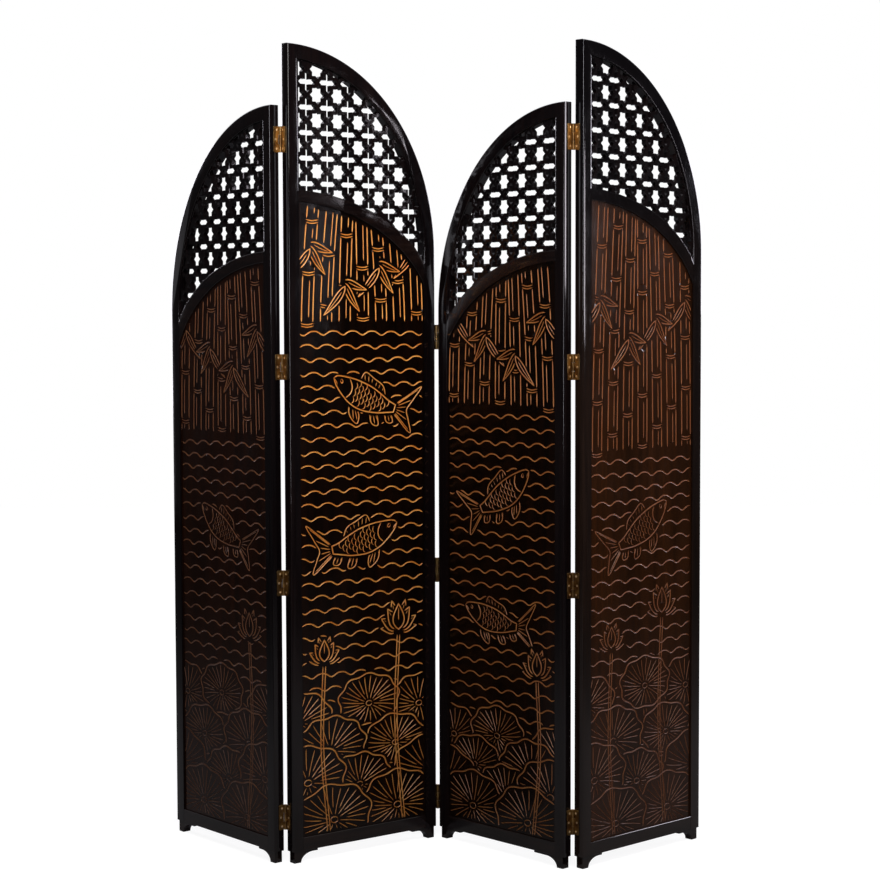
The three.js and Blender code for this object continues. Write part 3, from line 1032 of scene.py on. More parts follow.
@dataclass(frozen=True)
class LotusLeaf:
    """A round leaf on its stalk, seen a little from above, with veins out to a waved rim."""

    x: float
    z: float
    radius: float
    flat: float
    waves: int
    veins: int
    stalk_foot: float
    wave_depth: float = 0.045
    sink: float = -0.12
    twist: float = 0.09
    first_vein: float = 0.1
    vein_starts: Span = (0.34, 0.16)
    vein_end: float = 0.92
    hub: float = 0.1
    stalk_half: float = 5.0
    stalk_lean: float = 0.12

    def rim(self, angle: float, share: float = 1.0) -> Point:
        """Returns a point of the leaf at an angle and a share of the way to its rim."""
        radius = self.radius * share * (1 + self.wave_depth * math.sin(self.waves * angle))
        drop = (1 - share) * self.sink * self.radius
        return (
            self.x + radius * math.cos(angle),
            self.z + radius * self.flat * math.sin(angle) + drop,
        )

    def draw(self, design: Design) -> None:
        """Carves the leaf.

        Args:
            design: The panel's design.
        """
        for i in range(self.veins):
            angle = 2 * math.pi * i / self.veins + self.first_vein
            shares = spread(self.vein_starts[i % 2], self.vein_end, 3)
            vein = [self.rim(angle + self.twist * (1 - t), t) for t in shares]
            design.draw(smoothed(vein, 4), weight=0.65)
        hub = [self.rim(t, self.hub) for t in spread(0, 2 * math.pi, 10)]
        design.draw(np.array(hub), weight=0.7, step=3.0)
        edge = np.array([self.rim(t) for t in spread(0, 2 * math.pi, 72)[:-1]])
        design.shape(edge, weight=1.1)
        top = self.z - self.radius * self.flat
        lean = self.stalk_lean * self.radius
        for side in (-self.stalk_half, self.stalk_half):
            x = self.x + side
            stalk = [(x, top), (x + lean, (top + self.stalk_foot) / 2), (x, self.stalk_foot)]
            design.draw(smoothed(stalk), weight=0.9)


@dataclass(frozen=True)
class Lotus:
    """A lotus flower on a stalk."""

    x: float
    z: float
    size: float
    stalk_foot: float
    stalk_half: float = 4.0
    sway: Span = (-0.15, 0.2)
    rib: Span = (0.35, 0.85)
    petal_steps: int = 12
    petals: tuple[Place, ...] = (
        (0.0, 1.0, 0.3), (32.0, 0.98, 0.27), (-32.0, 0.98, 0.27), (60.0, 0.95, 0.24),
        (-60.0, 0.95, 0.24), (16.0, 1.18, 0.25), (-16.0, 1.18, 0.25), (84.0, 0.85, 0.2),
        (-84.0, 0.85, 0.2),
    )

    def petal(self, lean: float, length: float, width: float) -> np.ndarray:
        """Returns a petal's outline, leaning from upright by an angle in degrees."""
        side = [
            (width * math.sin(math.pi * t**0.8) * (1 - 0.25 * t), length * t)
            for t in spread(0, 1, self.petal_steps)
        ]
        u, v = np.array([*side, *[(-u, v) for u, v in side[-2:0:-1]]]).T
        c, s = math.cos(math.radians(lean)), math.sin(math.radians(lean))
        return np.stack([u * c + v * s, v * c - u * s], 1) + (self.x, self.z)

    def draw(self, design: Design) -> None:
        """Carves the flower.

        Args:
            design: The panel's design.
        """
        size = self.size
        for lean, length, width in self.petals:
            outline = self.petal(lean, length * size, width * size)
            root, tip = outline[0], outline[self.petal_steps]
            design.draw(np.array([root + (tip - root) * share for share in self.rib]), weight=0.65)
            design.shape(outline)
        for side in (-self.stalk_half, self.stalk_half):
            x = self.x + side
            middle = (x + self.sway[0] * size, (self.z + self.stalk_foot) / 2)
            foot = (x + self.sway[1] * size, self.stalk_foot)
            design.draw(smoothed([(x, self.z), middle, foot]), weight=0.9)


@dataclass(frozen=True)
class Bamboo:
    """A clump of bamboo stems with knots, and leaves that hang from some of them."""

    left: float
    right: float
    foot: float
    top: float
    stems: int = 7
    lean: float = 26.0
    bend: float = 1.6
    sway: Span = (5.1, 0.8)
    knot: float = 128.0
    knot_phase: float = 0.37
    knot_half: float = 3.2
    knot_reach: float = 2.5
    knot_sag: float = 3.0
    knot_clear: float = 6.0
    least_span: float = 24.0
    stem_half: float = 0.3
    shine: float = 0.25
    droops: tuple[float, ...] = (-34.0, 22.0, 58.0)
    blade_length: float = 96.0
    blade_half: float = 9.0
    blade_bow: float = 14.0
    blade_shrink: float = 14.0
    hang: float = 0.42
    hang_step: float = 46.0
    hang_rise: float = 8.0

    def stem_edge(self, share: float, offset: float) -> Callable[[float], float]:
        """Returns the line of a stem's side, as x for each height."""
        base = self.left + (self.right - self.left) * share
        sway = self.lean * math.sin(self.sway[0] * share + self.sway[1])
        reach = self.top - self.foot
        return lambda z: base + offset + sway * (((z - self.foot) / reach) ** self.bend)

    def draw(self, design: Design) -> None:
        """Carves the clump.

        Args:
            design: The panel's design.
        """
        half = (self.right - self.left) / self.stems * self.stem_half
        shares = [(i + 0.5) / self.stems for i in range(self.stems)]
        for i in range(0, self.stems, 2):
            middle = self.stem_edge(shares[i], 0.0)
            for k, droop in enumerate(self.droops):
                z = self.top - self.hang * (self.top - self.foot)
                z = z - self.hang_step * (i % 3) + self.hang_rise * k
                self.blade(design, (middle(z), z), droop, self.blade_length - self.blade_shrink * k)
        for i, share in enumerate(shares):
            left, right = (self.stem_edge(share, side * half) for side in (-1.0, 1.0))
            middle = self.stem_edge(share, self.shine * half)
            phase = self.knot * ((i * self.knot_phase) % 1.0)
            levels = np.arange(self.foot + phase, self.top + self.knot, self.knot)
            for z in levels:
                for rise in (-self.knot_half, self.knot_half):
                    knot = [
                        (left(z) - self.knot_reach, z + rise),
                        ((left(z) + right(z)) / 2, z + rise - self.knot_sag),
                        (right(z) + self.knot_reach, z + rise),
                    ]
                    design.draw(smoothed(knot, 4), weight=0.8)
            cuts = [self.foot, *levels, self.top + 20]
            for low, high in zip(cuts[:-1], cuts[1:]):
                if high - low < self.least_span:
                    continue
                heights = spread(low + self.knot_clear, high - self.knot_clear, 10)
                for line, weight in ((left, 1.0), (right, 1.0), (middle, 0.75)):
                    inner = heights if line is not middle else heights[1:-1]
                    design.draw(np.array([(line(z), z) for z in inner]), weight)

    def blade(self, design: Design, root: Point, droop: float, length: float) -> None:
        """Carves one hanging leaf.

        Args:
            design: The panel's design.
            root: Where it hangs from.
            droop: How far it swings from straight down, in degrees.
            length: Its length.
        """
        angle = math.radians(droop)
        down = np.array([math.sin(angle), -math.cos(angle)])
        across = np.array([down[1], -down[0]])
        bow = math.copysign(1.0, droop)
        side = [
            (t, self.blade_half * math.sin(math.pi * t**0.7), self.blade_bow * t * t * bow)
            for t in spread(0, 1, 12)
        ]
        right = [np.array(root) + down * length * t + across * (w - b) for t, w, b in side]
        left = [np.array(root) + down * length * t + across * (-w - b) for t, w, b in side]
        rib = [np.array(root) + down * length * t - across * b for t, _, b in side[2:-2]]
        design.draw(np.array(rib), weight=0.6)
        design.shape(np.array([*right, *left[-2:0:-1]]), weight=0.9)


@dataclass(frozen=True)
class Ripples:
    """Level waves over the whole width, one under another."""

    low: float
    high: float
    left: float
    right: float
    pitch: float = 33.0
    length: float = 59.0
    rise: float = 5.0
    shift: float = 2.1
    drift: Point = (2.0, 83.0)
    step: float = 5.0

    def draw(self, design: Design) -> None:
        """Carves the ripples.

        Args:
            design: The panel's design.
        """
        x = np.arange(self.left, self.right + 1.0, self.step)
        for row in range(int((self.high - self.low) / self.pitch) + 1):
            turn = 2 * math.pi * x / self.length + self.shift * row
            wave = self.rise * (np.sin(turn) + 0.18 * np.cos(2 * turn))
            drift = self.drift[0] * np.sin(x / self.drift[1] + row)
            line = np.stack([x, self.high - row * self.pitch + wave + drift], 1)
            design.draw(line, step=6.0)


Motif = Carp | LotusLeaf | Lotus | Bamboo | Ripples


@dataclass
class CarvedPanel:
    """The board under the middle rail, with lines carved through its black ground."""

    woodwork: Woodwork
    motifs: Sequence[Motif]
    line_half_width: float = 1.75
    depth: float = 1.1
    clear: float = 5.0
    head_margin: float = 7.0
    head_steps: int = 30
    neighbours: int = 3
    neighbour_reach: float = 6.0
    least_share: float = 0.02
    smooth_degrees: float = 12.0

    def field(self) -> Outline:
        """Returns the part of the panel that may be carved."""
        s = self.woodwork.sizes
        height = self.woodwork.plan.height
        sill = s.foot_height + s.bottom_rail + FIELD_MARGIN
        left, right = s.high_stile + FIELD_MARGIN, s.low - FIELD_MARGIN
        stations = spread(left, right, self.head_steps)
        head = [(x, s.rail_foot(height, x) - self.head_margin) for x in stations]
        return [(left, sill), (right, sill), *head[::-1]]

    def design(self) -> Design:
        """Returns the panel's carved lines."""
        design = Design(self.field(), self.line_half_width, self.clear)
        for motif in self.motifs:
            motif.draw(design)
        return design

    def surface(self, outline: Outline, strokes: Sequence[Stroke]) -> tuple[np.ndarray, np.ndarray]:
        """Divides the panel's front into triangles that follow every line.

        Args:
            outline: The board's edge.
            strokes: The carved lines.

        Returns:
            The corners in x and z, and the triangles.
        """
        points = [tuple(p) for p in outline]
        count = len(points)
        edges = [(i, (i + 1) % count) for i in range(count)]
        for stroke in strokes:
            along = np.gradient(stroke.points, axis=0)
            along /= np.maximum(np.linalg.norm(along, axis=1, keepdims=True), 1e-9)
            across = np.stack([-along[:, 1], along[:, 0]], 1) * stroke.half_widths[:, None]
            last = len(stroke.points) - 1
            middle = len(points)
            points += [tuple(p) for p in stroke.points]
            edges += [(middle + i, middle + i + 1) for i in range(last)]
            for side in (1.0, -1.0):
                low = len(points)
                points += [tuple(p) for p in (stroke.points + side * across)[1:-1]]
                chain = [middle, *range(low, low + last - 1), middle + last]
                edges += list(zip(chain[:-1], chain[1:]))
        result = geometry.delaunay_2d_cdt([Vector(p) for p in points], edges, [], 0, 1e-4, False)
        return np.array([tuple(v) for v in result[0]]), np.array([tuple(f) for f in result[2]])

    def depths(self, points: np.ndarray, strokes: Sequence[Stroke]) -> np.ndarray:
        """Finds how deep the carving is at each point.

        Args:
            points: Points on the panel.
            strokes: The carved lines.

        Returns:
            The depth as a share, 0 on the ground and 1 along the middle of a line.
        """
        samples = np.concatenate([stroke.points for stroke in strokes])
        widths = np.concatenate([stroke.half_widths for stroke in strokes])
        starts = np.cumsum([0] + [len(stroke.points) for stroke in strokes])
        breaks = set(starts.tolist())
        tree = kdtree.KDTree(len(samples))
        for i, (x, z) in enumerate(samples):
            tree.insert((x, z, 0.0), i)
        tree.balance()
        found = np.zeros(len(points))
        for n, (x, z) in enumerate(points):
            for _, i, distance in tree.find_n((x, z, 0.0), self.neighbours):
                if distance > self.neighbour_reach:
                    break
                for j in (i - 1, i):
                    if j < 0 or j + 1 in breaks:
                        continue
                    (ax, az), (bx, bz) = samples[j], samples[j + 1]
                    dx, dz = bx - ax, bz - az
                    square = dx * dx + dz * dz
                    t = 0.0 if square == 0 else ((x - ax) * dx + (z - az) * dz) / square
                    t = min(1.0, max(0.0, t))
                    width = widths[j] + t * (widths[j + 1] - widths[j])
                    gap = math.hypot(x - ax - t * dx, z - az - t * dz)
                    if width > 1e-6:
                        found[n] = max(found[n], 1.0 - gap / width)
        return found

    def build(self, joiner: Joiner, ground: bpy.types.Material, line: bpy.types.Material) -> None:
        """Builds the panel.

        Args:
            joiner: Places the piece.
            ground: The finish of its face.
            line: The finish of its carved lines.
        """
        s = self.woodwork.sizes
        outline = counterclockwise(self.woodwork.panel_opening(s.tongue))
        strokes = self.design().strokes
        flat, triangles = self.surface(outline, strokes)
        shares = self.depths(flat, strokes)
        carved = self.depths(flat[triangles].mean(1), strokes) > self.least_share
        front = s.setback
        points = [(x, front + self.depth * share, z) for (x, z), share in zip(flat, shares)]
        rim = self.rim(triangles)
        back = range(len(points), len(points) + len(rim))
        points += [(flat[i][0], front + s.board, flat[i][1]) for i in rim]
        faces = [tuple(int(i) for i in t) for t in triangles]
        plain = [*band(rim, back), tuple(reversed(back))]
        solid = Solid.of(points, faces + plain)
        marks = np.array([*carved, *[False] * len(plain)], np.int32)
        solid.mesh.polygons.foreach_set("material_index", marks)
        node = f"{joiner.plan.body}_carved_panel"
        finishes = [ground, line]
        joiner.place(solid, f"{node}_finished", finishes, Slot.CARVED, [node], self.smooth_degrees)

    @staticmethod
    def rim(triangles: np.ndarray) -> list[int]:
        """Returns the corners along the outer edge of a field of triangles, in order."""
        sides = dict.fromkeys(
            (int(i), int(j)) for a, b, c in triangles for i, j in ((a, b), (b, c), (c, a))
        )
        after = {i: j for i, j in sides if (j, i) not in sides}
        start = next(iter(after))
        loop = [start]
        while after[loop[-1]] != start:
            loop.append(after[loop[-1]])
        return loop


# Hinges


@dataclass
class ButtHinge:
    """One leaf's half of a brass butt hinge, with its screws.

    It is made with its pin on the z axis, its edge of the leaf towards +x and its plate lying
    along -y, and is then moved to its edge.
    """

    sizes: LeafSizes
    height: float = 63.5
    reach: float = 18.8
    plate: float = 1.8
    barrel: float = 3.8
    pin: float = 1.6
    bore: float = 2.2
    knuckles: int = 3
    sides: int = 28
    screw_head: float = 2.9
    corner: float = 3.0
    corner_steps: int = 5
    ease: float = 0.25
    knuckle_ease: float = 0.3
    pin_inset: float = 0.2
    slot_half: float = 0.45
    screw_lift: float = 0.05
    screw_places: tuple[Place, ...] = ((0.14, 1.6, 0.5), (0.5, -1.6, 2.0), (0.86, 1.6, 1.1))

    def ring(self, radius: float, z: float) -> list[Place]:
        """Returns the points of a level circle round the pin."""
        turns = [2 * math.pi * i / self.sides for i in range(self.sides)]
        return [(radius * math.cos(t), radius * math.sin(t), z) for t in turns]

    def turned(self, profile: Sequence[Point], closed: bool) -> Solid:
        """Makes a turned solid.

        Args:
            profile: Radii and heights, from one end to the other.
            closed: Whether the profile comes back to its start, as round a bore.

        Returns:
            The solid.
        """
        points = [p for radius, z in profile for p in self.ring(radius, z)]
        faces: list[Sequence[int]] = []
        rings = len(profile)
        for k in range(rings if closed else rings - 1):
            low, high = k * self.sides, ((k + 1) % rings) * self.sides
            for i in range(self.sides):
                j = (i + 1) % self.sides
                faces.append((low + i, low + j, high + j, high + i))
        if not closed:
            faces.append(tuple(reversed(range(self.sides))))
            faces.append(tuple((rings - 1) * self.sides + i for i in range(self.sides)))
        return Solid.of(points, faces)

    def leaf_plate(self, has_pin: bool) -> Solid:
        """Returns the plate and its knuckles.

        Args:
            has_pin: Whether this half has the outer knuckles and the pin.

        Returns:
            One solid.
        """
        gap = self.sizes.gap
        outer = self.sizes.edge_gap / 2 - gap
        inner = outer - self.plate
        corner = self.corner
        far, near = -self.reach, -self.barrel - gap
        edge: list[Point] = [(near, 0.0), (near, self.height)]
        for z, first in ((self.height - corner, 90.0), (corner, 180.0)):
            for turn in spread(first, first + 90.0, self.corner_steps):
                c, s = math.cos(math.radians(turn)), math.sin(math.radians(turn))
                edge.append((far + corner + corner * c, z + corner * s))
        flat = Solid.board(edge, [], (inner, outer), self.ease)
        turned = Matrix(((0, 1, 0, 0), (1, 0, 0, 0), (0, 0, 1, 0), (0, 0, 0, 1)))
        flat.mesh.transform(turned)
        flat.mesh.flip_normals()
        step = self.height / self.knuckles
        rim = self.barrel - self.knuckle_ease
        parts: list[Solid] = []
        for i in range(0 if has_pin else 1, self.knuckles, 2):
            low = i * step + (gap / 2 if i else 0.0)
            high = (i + 1) * step - (gap / 2 if i < self.knuckles - 1 else 0.0)
            parts.append(Solid.block((inner, outer), (near - gap, 0.0), (low, high)))
            shell = [(rim, low), (self.barrel, low + self.knuckle_ease)]
            shell += [(self.barrel, high - self.knuckle_ease), (rim, high)]
            if not has_pin:
                shell += [(self.bore, high), (self.bore, low)]
            parts.append(self.turned(shell, closed=not has_pin))
        if has_pin:
            ends = (self.pin_inset, self.height - self.pin_inset)
            parts.append(self.turned([(self.pin, z) for z in ends], closed=False))
        made = flat.combined(Operation.ADD, *parts)
        if not has_pin:
            ends = (-OVERSHOOT, self.height + OVERSHOOT)
            hole = self.turned([(self.bore, z) for z in ends], closed=False)
            made = made.combined(Operation.CUT, hole)
        return made

    def screws(self) -> Solid:
        """Returns the three slotted screw heads of a plate, as one mesh."""
        face = self.sizes.edge_gap / 2 - self.sizes.gap - self.plate
        radius = self.screw_head
        profile = [(radius, 0.0), (radius, 0.14), (radius * 0.8, 0.3), (radius * 0.35, 0.38)]
        points: list[Place] = []
        faces: list[Sequence[int]] = []
        middle = -(self.reach + self.barrel) / 2 - 0.4
        for share, offset, turn in self.screw_places:
            slot = Solid.block((-radius, radius), (-self.slot_half, self.slot_half), (0.12, 1.0))
            slot.mesh.transform(Matrix.Rotation(turn, 4, "Z"))
            cut = self.turned(profile, closed=False).combined(Operation.CUT, slot)
            start = len(points)
            z = share * self.height
            for v in cut.mesh.vertices:
                points.append((face + self.screw_lift - v.co.z, middle + offset + v.co.x, z + v.co.y))
            faces += [tuple(start + i for i in p.vertices) for p in cut.mesh.polygons]
        return Solid.of(points, faces)

    def at_edge(self, solid: Solid, edge: Edge, height: float) -> Solid:
        """Moves a piece of the hinge to a leaf's edge.

        Args:
            solid: The piece.
            edge: The leaf's edge that it is screwed to.
            height: The height of the hinge's middle.

        Returns:
            The same piece, in the leaf's frame.
        """
        s = self.sizes
        lift = height - self.height / 2
        if edge is Edge.HIGH:
            place = Matrix.Translation((-s.edge_gap / 2, s.thickness + s.pin_offset, lift))
        else:
            place = Matrix.Translation((s.width + s.edge_gap / 2, -s.pin_offset, lift))
            place = place @ Matrix.Rotation(math.pi, 4, "Z")
        solid.mesh.transform(place)
        return solid

    def build(self, joiner: Joiner, brass: bpy.types.Material, screw: bpy.types.Material) -> None:
        """Builds a leaf's halves of all its hinges.

        Args:
            joiner: Places the pieces.
            brass: The plates' finish.
            screw: The screws' finish.
        """
        for edge, hinges in joiner.plan.hinges.items():
            kind = "pin_plate" if hinges.has_pin else "plate"
            for level, height in hinges.levels.items():
                node = f"hinge_{hinges.joint}_{level}_{kind}"
                plate = self.at_edge(self.leaf_plate(hinges.has_pin), edge, height)
                screws = self.at_edge(self.screws(), edge, height)
                joiner.place(plate, f"{node}_finished", [brass], Slot.BRASS, [node])
                joiner.place(screws, f"{node}_screws", [screw], Slot.BRASS, [])


# Finishes


class NodeSheet:
    """Adds nodes to a material, a group or the surroundings, and links them."""

    def __init__(self, tree: bpy.types.NodeTree) -> None:
        """Keeps the tree."""
        self.tree = tree
        self.column = 0

    @classmethod
    def fresh(cls, owner: bpy.types.Material | bpy.types.World) -> NodeSheet:
        """Returns a sheet on the emptied tree of a material or of the surroundings."""
        owner.use_nodes = True
        owner.node_tree.nodes.clear()
        return cls(owner.node_tree)

    @classmethod
    def group(cls, name: str, inputs: dict[str, tuple[str, object]], output: str) -> NodeSheet:
        """Makes an empty shader node group.

        Args:
            name: The group's name.
            inputs: The socket type and default of each input.
            output: The name of its one output, a value.

        Returns:
            A sheet on the group's tree.
        """
        tree = bpy.data.node_groups.new(name, "ShaderNodeTree")
        for label, (kind, default) in inputs.items():
            socket = tree.interface.new_socket(name=label, in_out="INPUT", socket_type=kind)
            socket.default_value = default
        tree.interface.new_socket(name=output, in_out="OUTPUT", socket_type=FLOAT)
        return cls(tree)

    def add(
        self, kind: str, *values: object, settings: dict[str, object] | None = None, **inputs: object
    ) -> bpy.types.Node:
        """Adds a node.

        Args:
            kind: The node's type.
            *values: Values or sockets for its first inputs.
            settings: Its properties.
            **inputs: Values or sockets for its inputs by name, with _ for a space.

        Returns:
            The node.
        """
        node = self.tree.nodes.new(kind)
        node.location = (self.column * NODE_PITCH, 0)
        self.column += 1
        for key, value in (settings or {}).items():
            setattr(node, key, value)
        for index, value in enumerate(values):
            self.feed(node, index, value)
        for key, value in inputs.items():
            self.feed(node, key.replace("_", " "), value)
        return node

    def feed(self, node: bpy.types.Node, name: str | int, value: object) -> None:
        """Sets or links one input of a node."""
        socket = node.inputs[name]
        if isinstance(value, bpy.types.NodeSocket):
            self.tree.links.new(value, socket)
        else:
            socket.default_value = value

    def place(self) -> bpy.types.NodeSocket:
        """Returns each point's place on its leaf, in metres."""
        return self.add("ShaderNodeAttribute", settings={"attribute_name": PLACE}).outputs["Vector"]

    def axis(self, vector: object, name: str) -> bpy.types.NodeSocket:
        """Returns one axis of a vector."""
        return self.add("ShaderNodeSeparateXYZ", vector).outputs[name]

    def math(self, operation: str, a: object, b: object) -> bpy.types.NodeSocket:
        """Returns the result of a Math node."""
        return self.add("ShaderNodeMath", a, b, settings={"operation": operation}).outputs[0]

    def scaled(self, vector: object, by: object) -> bpy.types.NodeSocket:
        """Returns a vector, each axis multiplied by its own factor."""
        return self.add("ShaderNodeVectorMath", vector, by, settings={"operation": "MULTIPLY"}).outputs[0]

    def mix(self, factor: object, a: object, b: object) -> bpy.types.NodeSocket:
        """Returns the result of a colour mix."""
        node = self.add("ShaderNodeMix", factor, settings={"data_type": "RGBA"})
        self.feed(node, MIX_COLOUR_INPUTS[0], a)
        self.feed(node, MIX_COLOUR_INPUTS[1], b)
        return node.outputs[MIX_COLOUR_OUTPUT]

    def ramp(self, value: object, low: float, high: float, to: Span = (0.0, 1.0)) -> bpy.types.NodeSocket:
        """Returns a value mapped from one range to another and held inside it."""
        return self.add("ShaderNodeMapRange", value, low, high, *to).outputs[0]

    def noise(self, vector: object, scale: object, detail: float, **more: object) -> bpy.types.NodeSocket:
        """Returns a Noise Texture's value."""
        node = self.add("ShaderNodeTexNoise", Vector=vector, Scale=scale, Detail=detail, **more)
        return node.outputs[0]

    def bump(self, strength: float, distance: float, height: object) -> bpy.types.NodeSocket:
        """Returns the normal of a relief, its distance in metres."""
        node = self.add("ShaderNodeBump", Strength=strength, Distance=distance, Height=height)
        return node.outputs[0]

    def use(self, group: bpy.types.NodeTree, **inputs: object) -> bpy.types.NodeSocket:
        """Returns the one output of a node group."""
        return self.add("ShaderNodeGroup", settings={"node_tree": group}, **inputs).outputs[0]


class Effects:
    """The node groups that more than one finish uses, each built once."""

    def __init__(self) -> None:
        """Builds the groups."""
        self.grain = self.build_grain()
        self.handling = self.build_handling()

    @staticmethod
    def build_grain() -> bpy.types.NodeTree:
        """Returns the group for timber that shows faintly through its lacquer."""
        inputs = {"Stretch": (VECTOR, Grain.UPRIGHT.value), "Scale": (FLOAT, 90.0)}
        sheet = NodeSheet.group("timber under lacquer", inputs, "Grain")
        source = sheet.add("NodeGroupInput").outputs
        stretched = sheet.scaled(sheet.place(), source["Stretch"])
        fine = sheet.noise(stretched, source["Scale"], 4.0)
        broad = sheet.noise(stretched, sheet.math("MULTIPLY", source["Scale"], 0.13), 2.0)
        grain = sheet.ramp(sheet.math("MULTIPLY", fine, broad), 0.12, 0.42)
        sheet.add("NodeGroupOutput", grain)
        return sheet.tree

    @staticmethod
    def build_handling() -> bpy.types.NodeTree:
        """Returns the group for the roughness that smears and hair lines of handling leave."""
        inputs = {"Low": (FLOAT, 0.12), "High": (FLOAT, 0.3), "Scale": (FLOAT, 9.0)}
        sheet = NodeSheet.group("handling marks", inputs, "Roughness")
        source = sheet.add("NodeGroupInput").outputs
        place = sheet.place()
        smear = sheet.ramp(sheet.noise(place, source["Scale"], 5.0, Roughness=0.6), 0.3, 0.7)
        lines = sheet.ramp(sheet.noise(sheet.scaled(place, (3.0, 40.0, 0.5)), 60.0, 1.0), 0.62, 0.72)
        span = sheet.math("SUBTRACT", source["High"], source["Low"])
        rough = sheet.math("ADD", source["Low"], sheet.math("MULTIPLY", smear, span))
        rough = sheet.math("ADD", rough, sheet.math("MULTIPLY", lines, 0.06))
        sheet.add("NodeGroupOutput", rough)
        return sheet.tree


@dataclass(frozen=True)
class Gloss:
    """How a finish shines: its roughness between smears and in them, and their scale."""

    low: float
    high: float
    scale: float = 9.0
    specular: float = 0.5
    metallic: float = 0.0


class Finish:
    """What every finish does; each kind gives its own colour and relief."""

    name: str
    gloss: Gloss

    def surface(self, sheet: NodeSheet, effects: Effects) -> dict[str, bpy.types.NodeSocket]:
        """Makes the finish's own part.

        Args:
            sheet: The sheet on the material's tree.
            effects: The shared node groups.

        Returns:
            The sockets for the shader's inputs.
        """
        raise NotImplementedError

    def build(self, effects: Effects) -> bpy.types.Material:
        """Makes the material.

        Args:
            effects: The shared node groups.

        Returns:
            The material.
        """
        material = bpy.data.materials.new(self.name)
        sheet = NodeSheet.fresh(material)
        shader = sheet.add("ShaderNodeBsdfPrincipled")
        sheet.add("ShaderNodeOutputMaterial", shader.outputs[0])
        gloss = self.gloss
        rough = sheet.use(effects.handling, Low=gloss.low, High=gloss.high, Scale=gloss.scale)
        sheet.feed(shader, "Roughness", rough)
        for name, socket in self.surface(sheet, effects).items():
            sheet.feed(shader, name, socket)
        shader.inputs["Specular IOR Level"].default_value = gloss.specular
        shader.inputs["Metallic"].default_value = gloss.metallic
        return material


@dataclass(frozen=True)
class Lacquer(Finish):
    """Lacquer over timber, whose brown shows through it up to a height; where its colours below that
    height are lighter, they are a painted reflection.
    """

    name: str
    ground: Colour = (0.0016, 0.0011, 0.0014, 1.0)
    warm: Colour = (0.0055, 0.0026, 0.0024, 1.0)
    above: Colour = (0.0016, 0.0011, 0.0015, 1.0)
    grain: Grain = Grain.UPRIGHT
    grain_scale: float = 90.0
    relief: float = 0.12
    relief_depth: float = 0.0004
    painted_reflection_top: float = 3.0
    painted_light_fade: float = 0.5
    gloss: Gloss = Gloss(0.05, 0.14)

    def surface(self, sheet: NodeSheet, effects: Effects) -> dict[str, bpy.types.NodeSocket]:
        """Makes the finish's own part.

        Args:
            sheet: The sheet on the material's tree.
            effects: The shared node groups.

        Returns:
            The sockets for the shader's inputs.
        """
        grain = sheet.use(effects.grain, Stretch=self.grain.value, Scale=self.grain_scale)
        colour = sheet.mix(grain, self.ground, self.warm)
        height = sheet.axis(sheet.place(), "Z")
        # Painted reflection: the colours below the given top give way to the plain colour above it.
        glow = sheet.ramp(height, self.painted_reflection_top - self.painted_light_fade, self.painted_reflection_top, (1.0, 0.0))
        normal = sheet.bump(self.relief, self.relief_depth, grain)
        return {"Base Color": sheet.mix(glow, self.above, colour), "Normal": normal}


@dataclass(frozen=True)
class CarvedLine(Finish):
    """The colour in the carved lines: orange with gold worked in unevenly, with painted shade that
    darkens it towards the foot.
    """

    name: str
    orange: Colour
    gold: Colour
    # Painted shade: below 1.35 m the lines are mixed ever more with this black, down to 0.42 of their own
    # colour at 0.1 m.
    foot: Colour = (0.0, 0.0, 0.0, 1.0)
    shaded_foot_share: float = 0.42
    painted_light_fade: Span = (0.1, 1.35)
    gloss: Gloss = Gloss(0.35, 0.55, 14.0, 0.4)

    def surface(self, sheet: NodeSheet, effects: Effects) -> dict[str, bpy.types.NodeSocket]:
        """Makes the finish's own part.

        Args:
            sheet: The sheet on the material's tree.
            effects: The shared node groups; not used here.

        Returns:
            The sockets for the shader's inputs.
        """
        place = sheet.place()
        painted = sheet.mix(sheet.ramp(sheet.noise(place, 26.0, 4.0), 0.35, 0.68), self.orange, self.gold)
        # Painted shade: the lines darken towards the foot of the leaf.
        shade_towards_foot = sheet.ramp(sheet.axis(place, "Z"), *self.painted_light_fade, (self.shaded_foot_share, 1.0))
        normal = sheet.bump(0.25, 0.0003, sheet.noise(place, 900.0, 2.0))
        return {"Base Color": sheet.mix(shade_towards_foot, self.foot, painted), "Normal": normal}


@dataclass(frozen=True)
class Brass(Finish):
    """Polished brass that has darkened where handling doesn't keep it bright."""

    name: str
    bright: Colour = (0.34, 0.205, 0.075, 1.0)
    dull: Colour = (0.15, 0.082, 0.032, 1.0)
    gloss: Gloss = Gloss(0.24, 0.4, 60.0, metallic=1.0)

    def surface(self, sheet: NodeSheet, effects: Effects) -> dict[str, bpy.types.NodeSocket]:
        """Makes the finish's own part.

        Args:
            sheet: The sheet on the material's tree.
            effects: The shared node groups; not used here.

        Returns:
            The sockets for the shader's inputs.
        """
        share = sheet.ramp(sheet.noise(sheet.place(), 45.0, 3.0), 0.38, 0.62)
        return {"Base Color": sheet.mix(share, self.dull, self.bright)}


# Studio


@dataclass(frozen=True)
class Lamp:
    """A soft rectangular lamp, in metres and watts."""

    name: str
    place: Place
    aim: Place
    size: Span
    power: float
    colour: Place

    def build(self) -> None:
        """Adds the lamp to the scene."""
        light = bpy.data.lights.new(self.name, "AREA")
        light.shape = "RECTANGLE"
        light.size, light.size_y = self.size
        light.energy = self.power
        light.color = self.colour
        lamp = bpy.data.objects.new(self.name, light)
        lamp.location = self.place
        aim = Vector(self.aim) - Vector(self.place)
        lamp.rotation_euler = aim.to_track_quat("-Z", "Y").to_euler()
        bpy.context.scene.collection.objects.link(lamp)


